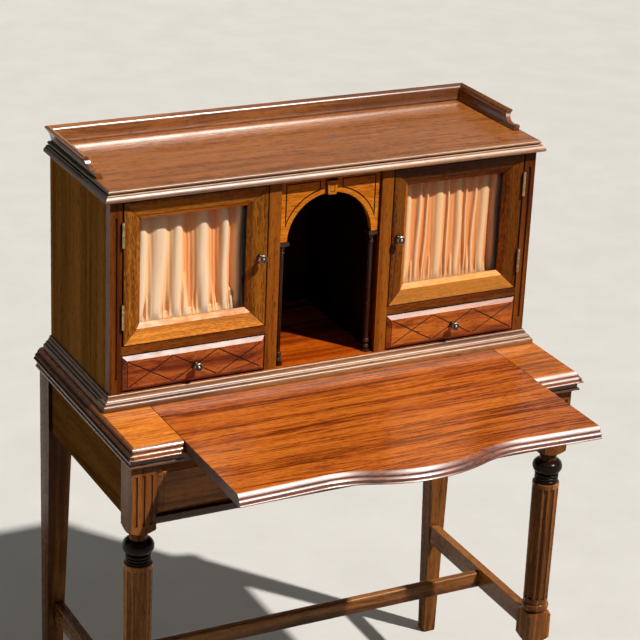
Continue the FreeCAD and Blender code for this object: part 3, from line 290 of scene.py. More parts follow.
def hollow_shade_and_patina(finish, colour, reach, depth, full=0.25, none=0.85):
    """Painted shade in quirks and inner corners, darker where they are more closed in; in metal it stands for
    patina in the hollows.
    """
    occlusion = finish.add("ShaderNodeAmbientOcclusion", "AO", {"samples": 6}, Distance=reach)
    return finish.blend(finish.span(occlusion, full, none, depth, 0.0), colour, HOLLOW_SHADE_AND_PATINA)


def mahogany(name, grain, tones, figure=1.8, ribbon=1.0, fine=0.0, mottle=0.0, fleck=(70, 330), flame=0.0,
             gloss=0.2, wear=0.14, coat=0.2, coat_rough=0.09, sheen=0.35, shade=0.85, lines=False, tints=(),
             soft_below=None, dull=None):
    """Polished mahogany. grain gives the grain's coordinates, tones are its dark, middle and light colours.

    ribbon sets how narrow the stripes are, figure how strong, fine the share of thin threads, mottle how far
    they break into short flecks and flame how far they curl. lines paints shade black into narrow cut lines.
    soft_below is the height under which moulded edges are darker and less glossy, dull a mask of edges that
    are rougher and darker, the darkening being painted shade.
    """
    dark, middle, light = tones
    finish = Finish(name)
    place = grain(finish)
    sway = finish.swing(finish.noise(finish.stretch(place, (2.5, 5, 5)), detail=1), WANDER)
    if flame:
        curl = finish.noise(finish.stretch(place, (11, 17, 17), (1, 3, 2)), detail=1)
        sway = finish.calc("ADD", sway, finish.swing(curl, flame))
    u, v, w = finish.split(place)
    place = finish.join(u, finish.calc("ADD", v, sway), finish.calc("ADD", w, sway))

    def stripes(pattern, narrower=1.0, detail=2, roughness=0.5):
        lengthwise, crosswise = pattern[0], pattern[1] * narrower
        drawn = finish.stretch(place, (lengthwise, crosswise, crosswise))
        return finish.noise(drawn, detail=detail, roughness=roughness)

    broad = stripes(BROAD_STRIPES, ribbon, roughness=0.45)
    narrow = stripes(NARROW_STRIPES, ribbon, roughness=0.55)
    threads = stripes(THREADS, roughness=0.65)
    pits = stripes(PITS, detail=1)
    flecks = stripes(fleck, roughness=0.6)
    pattern = finish.total((broad, BROAD_SHARE - fine / 2), (narrow, NARROW_SHARE - fine / 2),
                           (threads, THREAD_SHARE + fine))
    pattern = finish.calc("ADD", pattern, finish.swing(flecks, mottle))
    spread = 0.2 / figure
    pattern = finish.span(pattern, 0.5 - spread, 0.5 + spread)
    colour = finish.ramp(pattern, (0.0, dark), (0.45, middle), (1.0, light))
    cloud = finish.noise(finish.stretch(place, (3, 9, 9), (3, 7, 5)), detail=2)
    colour = finish.blend(finish.span(cloud, 0.4, 0.75, 0.0, 0.4), colour, middle)
    pores = finish.span(pits, 0.3, 0.44, 0.7, 0.0)
    colour = finish.blend(pores, colour, tuple(part * PORE_GAIN for part in dark))
    for tint in tints:
        colour = tint(finish, colour)
    rough = finish.span(finish.noise(finish.place(), 38, 3, 0.6), 0.3, 0.75, gloss, gloss + wear)
    if soft_below:
        _, _, z = finish.split(finish.place())
        edge = finish.span(z, soft_below - ARRIS, soft_below, 1.0, 0.0)
        colour = finish.gain(edge, colour, MOULDED_GAIN)
        rough = finish.calc("ADD", rough, finish.calc("MULTIPLY", edge, MOULDED_ROUGHER))
    if dull:
        dull_shaded = dull(finish)
        # painted shade on the dull outer edges and side runs
        colour = finish.gain(dull_shaded, colour, DULL_SHADE_GAIN)
        rough = finish.calc("ADD", rough, finish.calc("MULTIPLY", dull_shaded, DULL_ROUGHER))
    # painted shade in quirks and inner corners
    colour = hollow_shade_and_patina(finish, colour, HOLLOW_REACH, shade)
    # painted shade in narrow cut lines
    if lines:
        colour = hollow_shade_and_patina(finish, colour, CUT_REACH, 0.98, full=0.72, none=0.96)
    relief = finish.total((pits, 0.6), (threads, 0.4))
    return finish.surface(Base_Color=colour, Roughness=rough, Normal=finish.bump(relief, GRAIN_RELIEF, 0.5),
                          Coat_Weight=coat, Coat_Roughness=coat_rough, Specular_IOR_Level=sheen)


def ebonised_rings(low, high):
    """Black bands turned on the front legs between two heights, over a shaft made paler as painted light."""
    def tint(finish, colour):
        _, _, z = finish.split(finish.place())
        # painted light on the shaft below the rings
        colour = finish.gain(finish.calc("LESS_THAN", z, low), colour, SHAFT_LIGHT_GAIN)
        above = finish.calc("GREATER_THAN", z, low)
        band = finish.calc("MULTIPLY", above, finish.calc("LESS_THAN", z, high))
        return finish.blend(band, colour, EBONY)
    return tint


def rail_light_shade_and_mitres(node, foot, head, strip):
    """Painted light on a mitred frame's foot rail, painted light and shade on its head rail above and in a
    strip under it, and dark mitres.
    """
    middle, half = middle_and_half(node)
    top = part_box(node)[1].z

    def tint(finish, colour):
        x, _, z = finish.split(finish.place())
        off_x = finish.calc("SUBTRACT", finish.away(x, middle.x), half.x)
        down = finish.calc("SUBTRACT", finish.calc("SUBTRACT", middle.z, z), half.z)
        up = finish.calc("SUBTRACT", finish.calc("SUBTRACT", z, middle.z), half.z)
        # painted light on the foot rail
        pale = finish.blend(0.3, finish.gain(1.0, colour, FOOT_RAIL_LIGHT), foot)
        colour = finish.blend(finish.calc("GREATER_THAN", down, off_x), colour, pale)
        # painted light and shade on the head rail and the strip under it
        level = finish.span(z, top - HEAD_SHADOW_EDGE[0], top - HEAD_SHADOW_EDGE[1], strip, head)
        toned = finish.gain(1.0, colour, finish.join(level, level, level))
        colour = finish.blend(finish.calc("GREATER_THAN", up, off_x), colour, toned)
        mitre = finish.away(finish.calc("MAXIMUM", up, down), off_x)
        return finish.blend(finish.span(mitre, *MITRE_LINE, 0.7, 0.0), colour, MITRE_DARK)
    return tint


def painted_joint_shade(edge):
    """Painted shade: a dark line along the joint at an upright edge."""
    def tint(finish, colour):
        x, _, _ = finish.split(finish.place())
        line = finish.span(finish.away(x, edge), 0.6 * LINE_WIDTH, LINE_WIDTH, 0.92, 0.0)
        return finish.blend(line, colour, GAP_SHADE)
    return tint


def painted_edge_shade(node):
    """Painted shade: a dark line round the front edges of a piece, as in the gaps round it."""
    def tint(finish, colour):
        near = finish.calc("MINIMUM", *inside_edges(finish, node))
        line = finish.span(near, 0.5 * LINE_WIDTH, LINE_WIDTH, 0.9, 0.0)
        return finish.blend(line, colour, GAP_SHADE)
    return tint


def painted_lip_highlight(depth, gain):
    """Painted highlight on the lip round a door's pane, behind the given depth: its colour made paler by a
    gain.
    """
    def tint(finish, colour):
        _, y, _ = finish.split(finish.place())
        behind = finish.span(y, depth - ARRIS, depth + ARRIS)
        return finish.blend(behind, colour, finish.gain(1.0, colour, (gain, gain, gain)))
    return tint


def painted_groove_shade(node):
    """Painted shade: black in the lines cut into a drawer front, inside its bevelled border."""
    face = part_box(node)[0].y

    def tint(finish, colour):
        inside = finish.calc("MINIMUM", *inside_edges(finish, node))
        field = finish.calc("GREATER_THAN", inside, LATTICE_BORDER)
        _, y, _ = finish.split(finish.place())
        cut = finish.span(y, face + 0.7 * LATTICE_CUT, face + LATTICE_CUT, 0.0, 0.95)
        return finish.blend(finish.calc("MULTIPLY", field, cut), colour, GROOVE_SHADE)
    return tint


def painted_niche_shade(start, end):
    """Painted shade that deepens from the front edge into the niche."""
    def tint(finish, colour):
        _, y, _ = finish.split(finish.place())
        return finish.blend(finish.span(y, start, end, 0.0, 0.96), colour, NICHE_SHADE_COLOUR)
    return tint


# Wood colours: dark stripe, middle tone and light stripe
SLIDE_TONES = ((0.138, 0.021, 0.002), (0.425, 0.086, 0.008), (0.622, 0.167, 0.018))
TOP_TONES = ((0.165, 0.044, 0.008), (0.361, 0.108, 0.019), (0.488, 0.165, 0.033))
LEFT_END_TONES = ((0.261, 0.058, 0.007), (0.621, 0.176, 0.022), (0.828, 0.279, 0.038))
RIGHT_END_TONES = ((0.213, 0.045, 0.003), (0.553, 0.138, 0.010), (0.757, 0.218, 0.018))
LEFT_DOOR_TONES = ((0.105, 0.028, 0.002), (0.248, 0.077, 0.007), (0.407, 0.149, 0.013))
RIGHT_DOOR_TONES = ((0.046, 0.010, 0.001), (0.116, 0.029, 0.002), (0.198, 0.057, 0.004))
ARCH_TONES = ((0.340, 0.088, 0.005), (0.625, 0.180, 0.011), (0.790, 0.265, 0.020))
PARTITION_TONES = ((0.132, 0.031, 0.002), (0.237, 0.062, 0.004), (0.341, 0.103, 0.009))
STILE_TONES = ((0.077, 0.015, 0.002), (0.154, 0.037, 0.004), (0.231, 0.064, 0.008))
LEFT_LATTICE_TONES = ((0.094, 0.015, 0.004), (0.297, 0.057, 0.011), (0.506, 0.132, 0.022))
RIGHT_LATTICE_TONES = ((0.121, 0.017, 0.002), (0.370, 0.075, 0.006), (0.590, 0.160, 0.014))
FLOOR_TONES = ((0.202, 0.026, 0.002), (0.431, 0.066, 0.003), (0.563, 0.110, 0.006))
CORNICE_TONES = ((0.105, 0.036, 0.011), (0.235, 0.092, 0.027), (0.380, 0.162, 0.050))
MOULDING_TONES = ((0.094, 0.025, 0.005), (0.212, 0.065, 0.013), (0.352, 0.121, 0.025))
RAIL_TONES = ((0.045, 0.016, 0.005), (0.120, 0.048, 0.014), (0.195, 0.082, 0.024))
FRIEZE_TONES = ((0.120, 0.036, 0.010), (0.325, 0.110, 0.028), (0.500, 0.180, 0.050))
UNDER_TONES = ((0.066, 0.020, 0.005), (0.178, 0.060, 0.014), (0.285, 0.102, 0.025))
# Columns in the niche: near black, as painted shade
SHADED_COLUMN_TONES = ((0.008, 0.003, 0.001), (0.026, 0.008, 0.003), (0.055, 0.018, 0.006))
SIDE_TONES = ((0.135, 0.046, 0.011), (0.265, 0.100, 0.025), (0.365, 0.148, 0.038))
APRON_TONES = ((0.084, 0.029, 0.008), (0.165, 0.063, 0.016), (0.228, 0.093, 0.025))
LEG_TONES = ((0.061, 0.017, 0.003), (0.165, 0.050, 0.010), (0.275, 0.091, 0.020))
# Back of the niche: near black, as painted shade
SHADED_BACK_TONES = ((0.012, 0.004, 0.002), (0.026, 0.009, 0.004), (0.040, 0.015, 0.006))
INNER_TONES = ((0.160, 0.090, 0.040), (0.330, 0.200, 0.095), (0.420, 0.270, 0.140))

# Polish: bright on flat tops, full on mouldings, thin on upright faces
LEFT_END_POLISH = {"gloss": 0.19, "wear": 0.1, "coat": 0.1, "sheen": 0.3}
RIGHT_END_POLISH = {"gloss": 0.17, "wear": 0.1, "coat": 0.4, "coat_rough": 0.3, "sheen": 1.0}
TOP_POLISH = {"gloss": 0.16, "wear": 0.1, "coat": 0.5, "coat_rough": 0.24, "sheen": 0.85}
EDGE_POLISH = {"gloss": 0.4, "wear": 0.08, "coat": 0.25, "coat_rough": 0.3, "sheen": 0.75}
GALLERY_POLISH = {"gloss": 0.22, "wear": 0.06, "coat": 0.0, "sheen": 0.5}
FACE_POLISH = {"gloss": 0.28, "coat": 0.0, "sheen": 0.09}
LATTICE_POLISH = {"gloss": 0.3, "wear": 0.05, "coat": 0.0}
FLAT_POLISH = {"gloss": 0.4, "coat": 0.0, "sheen": 0.0}

# Outer edges that are duller and darker: rougher polish and painted shade
SLIDE_ENDS = past_end(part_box("writing_slide")[1].x - 0.5 * MM, DESK_Z - 0.5 * MM)
END_EDGES = past_end(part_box("top_end_right")[1].x - 9 * MM, DESK_Z - 0.6 * MM)
HUTCH_SIDE_RUNS = past_mitre(HUTCH_HALF, FACE_Y)

# Writing top and hutch top. Each shift moves the pattern so that no two boards match.
HUTCH_SHIFT = (0.3, 1.7, 2.9)
dress(mahogany("slide_mahogany", along("x", (0, 0, 0)), SLIDE_TONES, figure=2.0, ribbon=1.7, fine=0.3,
               soft_below=MOULDED_BELOW, dull=SLIDE_ENDS, **TOP_POLISH),
      "writing_slide", "slide_stops")
# End boards: painted shade along the joint with the writing slide and on their outer edges
for side, shift, tones, polish, inner in (("left", (1.3, 0.6, 0), LEFT_END_TONES, LEFT_END_POLISH, 1),
                                          ("right", (1.9, 2.6, 0), RIGHT_END_TONES, RIGHT_END_POLISH, 0)):
    end_board = f"top_end_{side}"
    dress(mahogany(f"{side}_end_mahogany", along("x", shift), tones, figure=1.6, ribbon=1.7, fine=0.3,
                   soft_below=MOULDED_BELOW, tints=[painted_joint_shade(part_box(end_board)[inner].x)], dull=END_EDGES,
                   **polish),
          end_board)
dress(mahogany("hutch_top_mahogany", along("x", (2.1, 0.9, 0)), TOP_TONES, figure=1.2, ribbon=1.8, fine=0.35,
               **TOP_POLISH),
      "hutch_top")

# Hutch
dress(mahogany("niche_floor_mahogany", along("x", (5.1, 2.9, 0)), FLOOR_TONES, figure=2.2, gloss=0.1),
      "hutch_floor", "hutch_plinth", "top_back_rail")
dress(mahogany("divider_mahogany", along("x", (3.1, 0.9, 4)), STILE_TONES, figure=1.6, mottle=0.3,
               **FACE_POLISH),
      "drawer_dividers")
dress(mahogany("gallery_side_mahogany", along("y", HUTCH_SHIFT), MOULDING_TONES, figure=1.6,
               **GALLERY_POLISH),
      "gallery_side_left", "gallery_side_right")
dress(mahogany("gallery_back_mahogany", along("x", (4, 3, 1)), MOULDING_TONES, figure=1.6, **GALLERY_POLISH),
      "gallery_back")
dress(mahogany("cornice_mahogany", round_the_hutch(HUTCH_HALF, FACE_Y, HUTCH_SHIFT), CORNICE_TONES,
               figure=1.5, dull=HUTCH_SIDE_RUNS, **EDGE_POLISH),
      "cornice")
dress(mahogany("base_moulding_mahogany", round_the_hutch(HUTCH_HALF, FACE_Y, (2, 2, 4)), CORNICE_TONES,
               dull=HUTCH_SIDE_RUNS, **EDGE_POLISH),
      "base_moulding")
dress(mahogany("under_moulding_mahogany", round_the_hutch(UNDER_HALF, UNDER_FRONT, (6, 1, 4)), UNDER_TONES,
               figure=1.4),
      "under_mouldings")
dress(mahogany("hutch_side_mahogany", along("z", (0.7, 0.2, 0.4)), SIDE_TONES, figure=0.9, **FLAT_POLISH),
      "hutch_side_left", "hutch_side_right")
dress(mahogany("hutch_back_shaded_mahogany", along("z", (0.2, 0.2, 0.4)), SHADED_BACK_TONES, figure=1.2, gloss=0.4,
               coat=0.0, sheen=0.1),
      "hutch_back")
dress(mahogany("stile_mahogany", along("z", (0.1, 3.2, 0.9)), STILE_TONES, figure=1.6, **FACE_POLISH),
      "corner_stiles")
dress(mahogany("column_shaded_mahogany", along("z", (0.5, 3.2, 0.1)), SHADED_COLUMN_TONES, sheen=0.3), "niche_columns")
dress(mahogany("partition_mahogany", along("z", (0.9, 1.2, 2.9)), PARTITION_TONES, figure=1.6,
               tints=[painted_niche_shade(*NICHE_SHADE)], **FACE_POLISH),
      "partitions")
# Arch panel: painted shade black in its cut lines and round its edges
dress(mahogany("arch_mahogany", along("x", (0.5, 1.1, 3.0)), ARCH_TONES, figure=1.3, ribbon=0.6, mottle=0.4,
               lines=True, tints=[painted_edge_shade("arch_panel")], **FACE_POLISH),
      "arch_panel", "keystone")
# Lattice fronts: painted shade round their edges and black painted shade in their grooves
for side, shift, tones, sheen in (("left", (0.2, 4.0, 1.0), LEFT_LATTICE_TONES, 0.26),
                                  ("right", (1.2, 4.6, 1.5), RIGHT_LATTICE_TONES, 0.35)):
    lattice = f"small_drawer_front_{side}"
    dress(mahogany(f"{side}_lattice_mahogany", along("x", shift), tones, figure=1.6, ribbon=1.3, fine=0.1,
                   flame=0.035, sheen=sheen, tints=[painted_edge_shade(lattice), painted_groove_shade(lattice)],
                   **LATTICE_POLISH),
          lattice)

# Table
dress(mahogany("frieze_mahogany", along("x", (0.8, 1.0, 5.0)), FRIEZE_TONES, figure=2.0, sheen=0.15,
               coat=0.05),
      "frieze_drawer_front")
dress(mahogany("rail_mahogany", along("x", (1.8, 0.3, 3.0)), RAIL_TONES, figure=1.6, sheen=0.3, coat=0.05),
      "front_upper_rail", "front_lower_rail")
dress(mahogany("stretcher_mahogany", along("x", (0.3, 1.4, 2.0)), UNDER_TONES, figure=2.0, sheen=0.15,
               coat=0.05),
      "cross_stretcher", "back_apron")
dress(mahogany("apron_mahogany", along("y", (0.2, 0.4, 0.7)), APRON_TONES, figure=0.9, **FLAT_POLISH),
      "side_apron_left", "side_apron_right")
dress(mahogany("side_stretcher_mahogany", along("y", (0.9, 0.4, 0.7)), UNDER_TONES, sheen=0.2),
      "side_stretcher_left", "side_stretcher_right")
dress(mahogany("front_leg_mahogany", along("z", (2.2, 0.4, 0.7)), LEG_TONES, gloss=0.2, coat=0.0, sheen=0.1,
               tints=[ebonised_rings(*LEG_RINGS)]),
      "front_leg_left", "front_leg_right")
dress(mahogany("rear_leg_mahogany", along("z", (1.2, 2.4, 0.7)), UNDER_TONES, sheen=0.06, coat=0.0),
      "rear_leg_left", "rear_leg_right")
dress(mahogany("inner_wood", along("y", (3, 1, 2)), INNER_TONES, figure=1.0, gloss=0.5, coat=0.0, shade=0.5),
      "small_drawer_box_left", "small_drawer_box_right", "frieze_drawer_box", "drawer_runners",
      "slide_bearers")

# Doors: painted light colour of the foot rail, painted light and shade tone of the head rail and of the strip
# under it, painted highlight on the lip
for side, shift, tones, foot, head, strip, lip in (
        ("left", (0.4, 2.2, 1.1), LEFT_DOOR_TONES, (0.72, 0.31, 0.070), 1.15, 2.6, 1.3),
        ("right", (1.4, 0.2, 3.1), RIGHT_DOOR_TONES, (0.80, 0.38, 0.085), 0.85, 1.0, 2.4)):
    door = f"door_frame_{side}"
    dress(mahogany(f"door_mahogany_{side}", round_the_door(door, shift), tones, figure=1.6, ribbon=1.4,
                   fine=0.1, mottle=0.45, fleck=(110, 520),
                   tints=[painted_lip_highlight(DOOR_LIP_Y, lip), rail_light_shade_and_mitres(door, foot, head, strip), painted_edge_shade(door)],
                   **FACE_POLISH),
          door)

# Metals: bright and deep colour, dull and handled roughness
BRASS, DEEP_BRASS = (0.58, 0.44, 0.24), (0.26, 0.18, 0.08)
BRONZE, DEEP_BRONZE = (0.46, 0.38, 0.32), (0.18, 0.13, 0.10)
METAL_ROUGHNESS = (0.42, 0.26)
METAL_HOLLOW_REACH = 4 * MM
BRUSH_RELIEF = 0.02 * MM
# Dark ring of a knob: where it starts and where it ends, in shares of the radius
RING_START, RING_END = (0.28, 0.4), (0.66, 0.8)


def turned_rings(node):
    """Dark ring between the bright rim and the bright middle of a turned knob, or of a mirrored pair."""
    middle, half = middle_and_half(node)
    radius = half.z
    pair = half.x > 2 * radius

    def tint(finish, tone):
        x, _, z = finish.split(finish.place())
        off_x = finish.calc("SUBTRACT", x, middle.x)
        if pair:
            off_x = finish.calc("SUBTRACT", finish.calc("ABSOLUTE", off_x), half.x - radius)
        off_z = finish.calc("SUBTRACT", z, middle.z)
        squares = finish.calc("ADD", finish.calc("POWER", off_x, 2.0), finish.calc("POWER", off_z, 2.0))
        share = finish.calc("DIVIDE", finish.calc("SQRT", squares), radius)
        outside = finish.span(share, *RING_START, 0.0, 1.0)
        ring = finish.calc("MULTIPLY", outside, finish.span(share, *RING_END, 1.0, 0.0))
        return finish.blend(finish.calc("MULTIPLY", ring, 0.85), tone, KNOB_DARK)
    return tint


def aged_metal(name, colour, deep, tint=None):
    """Brass or bronze: brighter where it is handled, dull and dark in the hollows."""
    finish = Finish(name)
    cloud = finish.noise(finish.place(), 220, 3, 0.6)
    tone = finish.ramp(finish.span(cloud, 0.3, 0.7), (0.0, deep), (1.0, colour))
    tone = hollow_shade_and_patina(finish, tone, METAL_HOLLOW_REACH, 0.9)
    if tint:
        tone = tint(finish, tone)
    brushed = finish.noise(finish.stretch(finish.place(), (1, 1, 0.15)), 1800, 1)
    return finish.surface(Base_Color=tone, Metallic=1.0,
                          Roughness=finish.span(cloud, 0.3, 0.7, *METAL_ROUGHNESS),
                          Normal=finish.bump(brushed, BRUSH_RELIEF, 0.4))


brass = aged_metal("aged_brass", BRASS, DEEP_BRASS)
dress(brass, "fixed_hinge_leaves", "door_hinge_leaves_left", "door_hinge_leaves_right",
      "curtain_rods_left", "curtain_rods_right")
for knob in ("door_knob_left", "door_knob_right", "small_drawer_knob_left", "small_drawer_knob_right",
             "frieze_drawer_knobs"):
    dress(aged_metal(f"bronze_{knob}", BRONZE, DEEP_BRONZE, turned_rings(knob)), knob)


def window_glass():
    """Thin old glass: almost clear, with a faint ripple in its reflections."""
    finish = Finish("window_glass")
    ripple = finish.noise(finish.place(), 18, 1)
    film = finish.noise(finish.place(), 60, 3, 0.6)
    tone = finish.ramp(film, (0.3, (0.50, 0.46, 0.40)), (0.8, (0.62, 0.58, 0.52)))
    return finish.surface(Base_Color=tone, Roughness=0.03, Alpha=0.015,
                          Normal=finish.bump(ripple, 0.6 * MM, 0.25))


dress(window_glass(), "door_glass_left", "door_glass_right")


def peach_satin():
    """Satin weave: fine ribs, a soft sheen, and painted light: pale on the crests of the folds, deep orange
    painted shade in the valleys.
    """
    finish = Finish("peach_satin")
    cloth = finish.add("ShaderNodeUVMap", settings={"uv_map": "cloth"})
    weave = finish.noise(finish.stretch(cloth, (2600, 900, 1)), detail=1)
    slub = finish.noise(finish.stretch(cloth, (260, 5, 1)), detail=3, roughness=0.6)
    crest = finish.add("ShaderNodeAttribute", "Fac", {"attribute_name": "crest"})
    # Painted light and shade: deep orange in the valleys, pale on the crests
    colour = finish.ramp(crest, (0.05, (0.900, 0.270, 0.050)), (0.45, (0.990, 0.560, 0.240)),
                         (0.92, (1.0, 0.820, 0.590)))
    colour = finish.blend(finish.span(slub, 0.4, 0.75, 0.0, 0.2), colour, (1.0, 0.78, 0.55))
    colour = finish.blend(finish.span(weave, 0.3, 0.7, 0.12, 0.0), colour, (0.7, 0.33, 0.17))
    return finish.surface(Base_Color=colour, Roughness=finish.span(weave, 0.3, 0.7, 0.38, 0.5),
                          Normal=finish.bump(weave, 0.1 * MM, 0.4), Sheen_Weight=0.06, Sheen_Roughness=0.4,
                          Sheen_Tint=(1.0, 0.86, 0.74, 1.0), Specular_IOR_Level=0.4)


def mesh_piece(name, points, faces, material):
    """A smooth piece from points and faces, put in the scene."""
    mesh = bpy.data.meshes.new(name)
    mesh.from_pydata([tuple(point) for point in points], [], faces)
    mesh.materials.append(material)
    mesh.shade_smooth()
    piece = bpy.data.objects.new(name, mesh)
    scene.collection.objects.link(piece)
    return piece


# Crests of the curtains' folds: place across the cloth, half width, and lean from foot to head, in shares
CRESTS = {
    "left": [(0.075, 0.055, 0.020), (0.225, 0.085, 0.035), (0.395, 0.060, 0.005), (0.625, 0.068, -0.008),
             (0.815, 0.046, 0.014), (0.945, 0.040, 0.010)],
    "right": [(0.085, 0.032, 0.012), (0.200, 0.023, 0.014), (0.270, 0.014, 0.012), (0.395, 0.044, 0.006),
              (0.485, 0.014, 0.008), (0.590, 0.032, -0.004), (0.665, 0.013, -0.006), (0.750, 0.018, 0.010),
              (0.845, 0.040, 0.004), (0.955, 0.026, 0.0)],
}
# Puffs above the foot: place across the cloth, half width and height, in shares
PUFFS = {
    "left": [(0.470, 0.028, 0.38), (0.215, 0.030, 0.28), (0.660, 0.016, 0.33), (0.130, 0.012, 0.22),
             (0.880, 0.020, 0.2)],
    "right": [(0.330, 0.012, 0.25), (0.540, 0.014, 0.22), (0.705, 0.013, 0.26), (0.150, 0.012, 0.2)],
}
# Flat width and drop of each cloth, depth of its folds, how pale its crests are painted as lit, the painted
# shade of its valleys, and its casings
FLAT_CURTAINS = {"left": (0.237, 0.235), "right": (0.225, 0.235)}
FOLD_DEPTHS = {"left": 12 * MM, "right": 5 * MM}
CREST_LIGHT = {"left": 0.86, "right": 0.64}
VALLEY_SHADE = 0.14
CHANCE_SEEDS = {"left": 5, "right": 11}
GATHERS = 23
ROD_RADIUS = 1.6 * MM
CASING_RADIUS = ROD_RADIUS + 0.7 * MM
HEM = 0.6 * MM
HEM_NEAR, HEM_FAR = 4 * MM, 11 * MM
PANE_GAP = 0.3 * MM
CLOTH_THICKNESS = 0.35 * MM
WAIST = 0.03
FOOT_GATHER, HEAD_GATHER = 0.06, 0.07
POINTS_ACROSS, CASING_ROWS, FOLD_ROWS = 260, 10, 60
ACROSS = np.linspace(0, 1, POINTS_ACROSS)


def fold_shape(side):
    """A function for how far the cloth stands forward, from 0 in a valley to 1 on a crest, at a height."""
    chance = np.random.default_rng(CHANCE_SEEDS[side])
    shifts = chance.uniform(0, 2 * math.pi, 6)
    pleat_places = (np.arange(GATHERS) + chance.uniform(0.2, 0.8, GATHERS)) / GATHERS
    pleat_widths = chance.uniform(0.006, 0.014, GATHERS)
    pleat_heights = chance.uniform(0.10, 0.30, GATHERS)

    def forward(level):
        valley = np.ones(POINTS_ACROSS)
        squeeze = 1 - 0.25 * max(0.0, 1 - level / 0.25)
        for index, (place, half, lean) in enumerate(CRESTS[side]):
            drift = 0.006 * math.sin(4.2 * level + shifts[index % 6])
            drift += 0.003 * math.sin(9.5 * level + 2 * index)
            offset = (ACROSS - place - lean * (level - 0.5) - drift) / (half * squeeze)
            valley *= 1 - np.exp(-np.abs(offset) ** 2.6)
        for place, half, reach in PUFFS[side]:
            rise = max(0.0, 1 - level / reach) ** 0.5
            offset = (ACROSS - place) / (half * (0.4 + 0.6 * rise))
            valley *= 1 - rise * np.exp(-np.abs(offset) ** 3.2)
        for place, width, reach in zip(pleat_places, pleat_widths, pleat_heights):
            near = max(0.0, 1 - level / reach) + 0.5 * max(0.0, 1 - (1 - level) / (0.3 * reach))
            if near:
                valley *= 1 - 0.75 * min(near, 1.0) * np.exp(-((ACROSS - place) / width) ** 2)
        fine = 31 * ACROSS + 0.8 * level
        broad = 9 * ACROSS - 0.7 * level + 0.2 * np.sin(7 * level)
        ripple = 0.05 * np.sin(2 * math.pi * fine + shifts[4]) * valley
        ripple += 0.025 * np.sin(2 * math.pi * broad + shifts[5])
        return np.clip(0.96 - 0.96 * valley + ripple, 0, 1)
    return forward


def curtain_rows(side):
    """Rows of the cloth from the lower hem to the upper one: height, depth, fold depth and height share."""
    rod_low, rod_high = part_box(f"curtain_rods_{side}")
    foot_z, head_z = rod_low.z + ROD_RADIUS, rod_high.z - ROD_RADIUS
    rod_y = rod_high.y - ROD_RADIUS
    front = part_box(f"door_curtain_{side}")[0].y + PANE_GAP
    behind = rod_y + CASING_RADIUS
    angles = [math.pi * step / (CASING_ROWS - 1) for step in range(CASING_ROWS)]
    casing = [(CASING_RADIUS * math.sin(angle), CASING_RADIUS * math.cos(angle)) for angle in angles]
    rows = [(foot_z + HEM_FAR, behind + HEM, HEM, 0.0), (foot_z + HEM_NEAR, behind, HEM, 0.0)]
    for up, back in casing:
        rows.append((foot_z - up, rod_y + back, 0.0, 0.0))
    for step in range(1, FOLD_ROWS):
        level = step / FOLD_ROWS
        open_fold = min(1.0, level / FOOT_GATHER, (1 - level) / HEAD_GATHER) ** 0.75
        base = (rod_y - CASING_RADIUS) * (1 - open_fold) + front * open_fold
        rows.append((foot_z + (head_z - foot_z) * level, base, FOLD_DEPTHS[side] * open_fold, level))
    for up, back in casing:
        rows.append((head_z + up, rod_y - back, 0.0, 1.0))
    return rows + [(head_z - HEM_NEAR, behind, HEM, 1.0), (head_z - HEM_FAR, behind + HEM, HEM, 1.0)]


def gathered_curtain(side, material):
    """A curtain shirred on its two rods: cased round each rod, with uneven folds between."""
    middle, half = middle_and_half(f"door_curtain_{side}")
    forward = fold_shape(side)
    rows = curtain_rows(side)
    points, uvs, crests, length = [], [], [], 0.0
    for index, (z, y, depth, level) in enumerate(rows):
        if index:
            length += math.hypot(z - rows[index - 1][0], y - rows[index - 1][1])
        pull = 1 - WAIST * math.sin(math.pi * level)
        crest = forward(level)
        for share, height in zip(ACROSS, crest):
            points.append((middle.x + (2 * share - 1) * half.x * pull, y + (1 - height) * depth, z))
            uvs.append((share * FLAT_CURTAINS[side][0], length))
        crests.extend(VALLEY_SHADE + crest * (CREST_LIGHT[side] - VALLEY_SHADE))
    corners = [row * POINTS_ACROSS + column
               for row in range(len(rows) - 1) for column in range(POINTS_ACROSS - 1)]
    faces = [(at, at + 1, at + POINTS_ACROSS + 1, at + POINTS_ACROSS) for at in corners]
    piece = mesh_piece(f"gathered_curtain_{side}", points, faces, material)
    layer = piece.data.uv_layers.new(name="cloth")
    for loop in piece.data.loops:
        layer.data[loop.index].uv = uvs[loop.vertex_index]
    piece.data.attributes.new("crest", "FLOAT", "POINT").data.foreach_set("value", crests)
    thickness = piece.modifiers.new("cloth thickness", "SOLIDIFY")
    thickness.thickness = CLOTH_THICKNESS
    thickness.offset = 0
    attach(piece, f"door_{side}")
    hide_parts(f"door_curtain_{side}")


satin = peach_satin()
for side in ("left", "right"):
    gathered_curtain(side, satin)


# Hinge screws: three to a leaf, placed from the datum; the slot's length is in radii of the head
HINGE_LEVELS = (161.6 * MM, 304.7 * MM)
SCREWS = ((5.5 * MM, -15 * MM), (10 * MM, 0.0), (5.5 * MM, 15 * MM))
LEAF_FACES = {"desk": 377.8 * MM, "door": 377.4 * MM}
HEAD_RADIUS = 2.1 * MM
HEAD_HEIGHT = 0.08 * MM
HEAD_SIDES = 24
SLOT_WIDTH = 0.7 * MM
SLOT_LENGTH = 3
TURN_SEED = 3


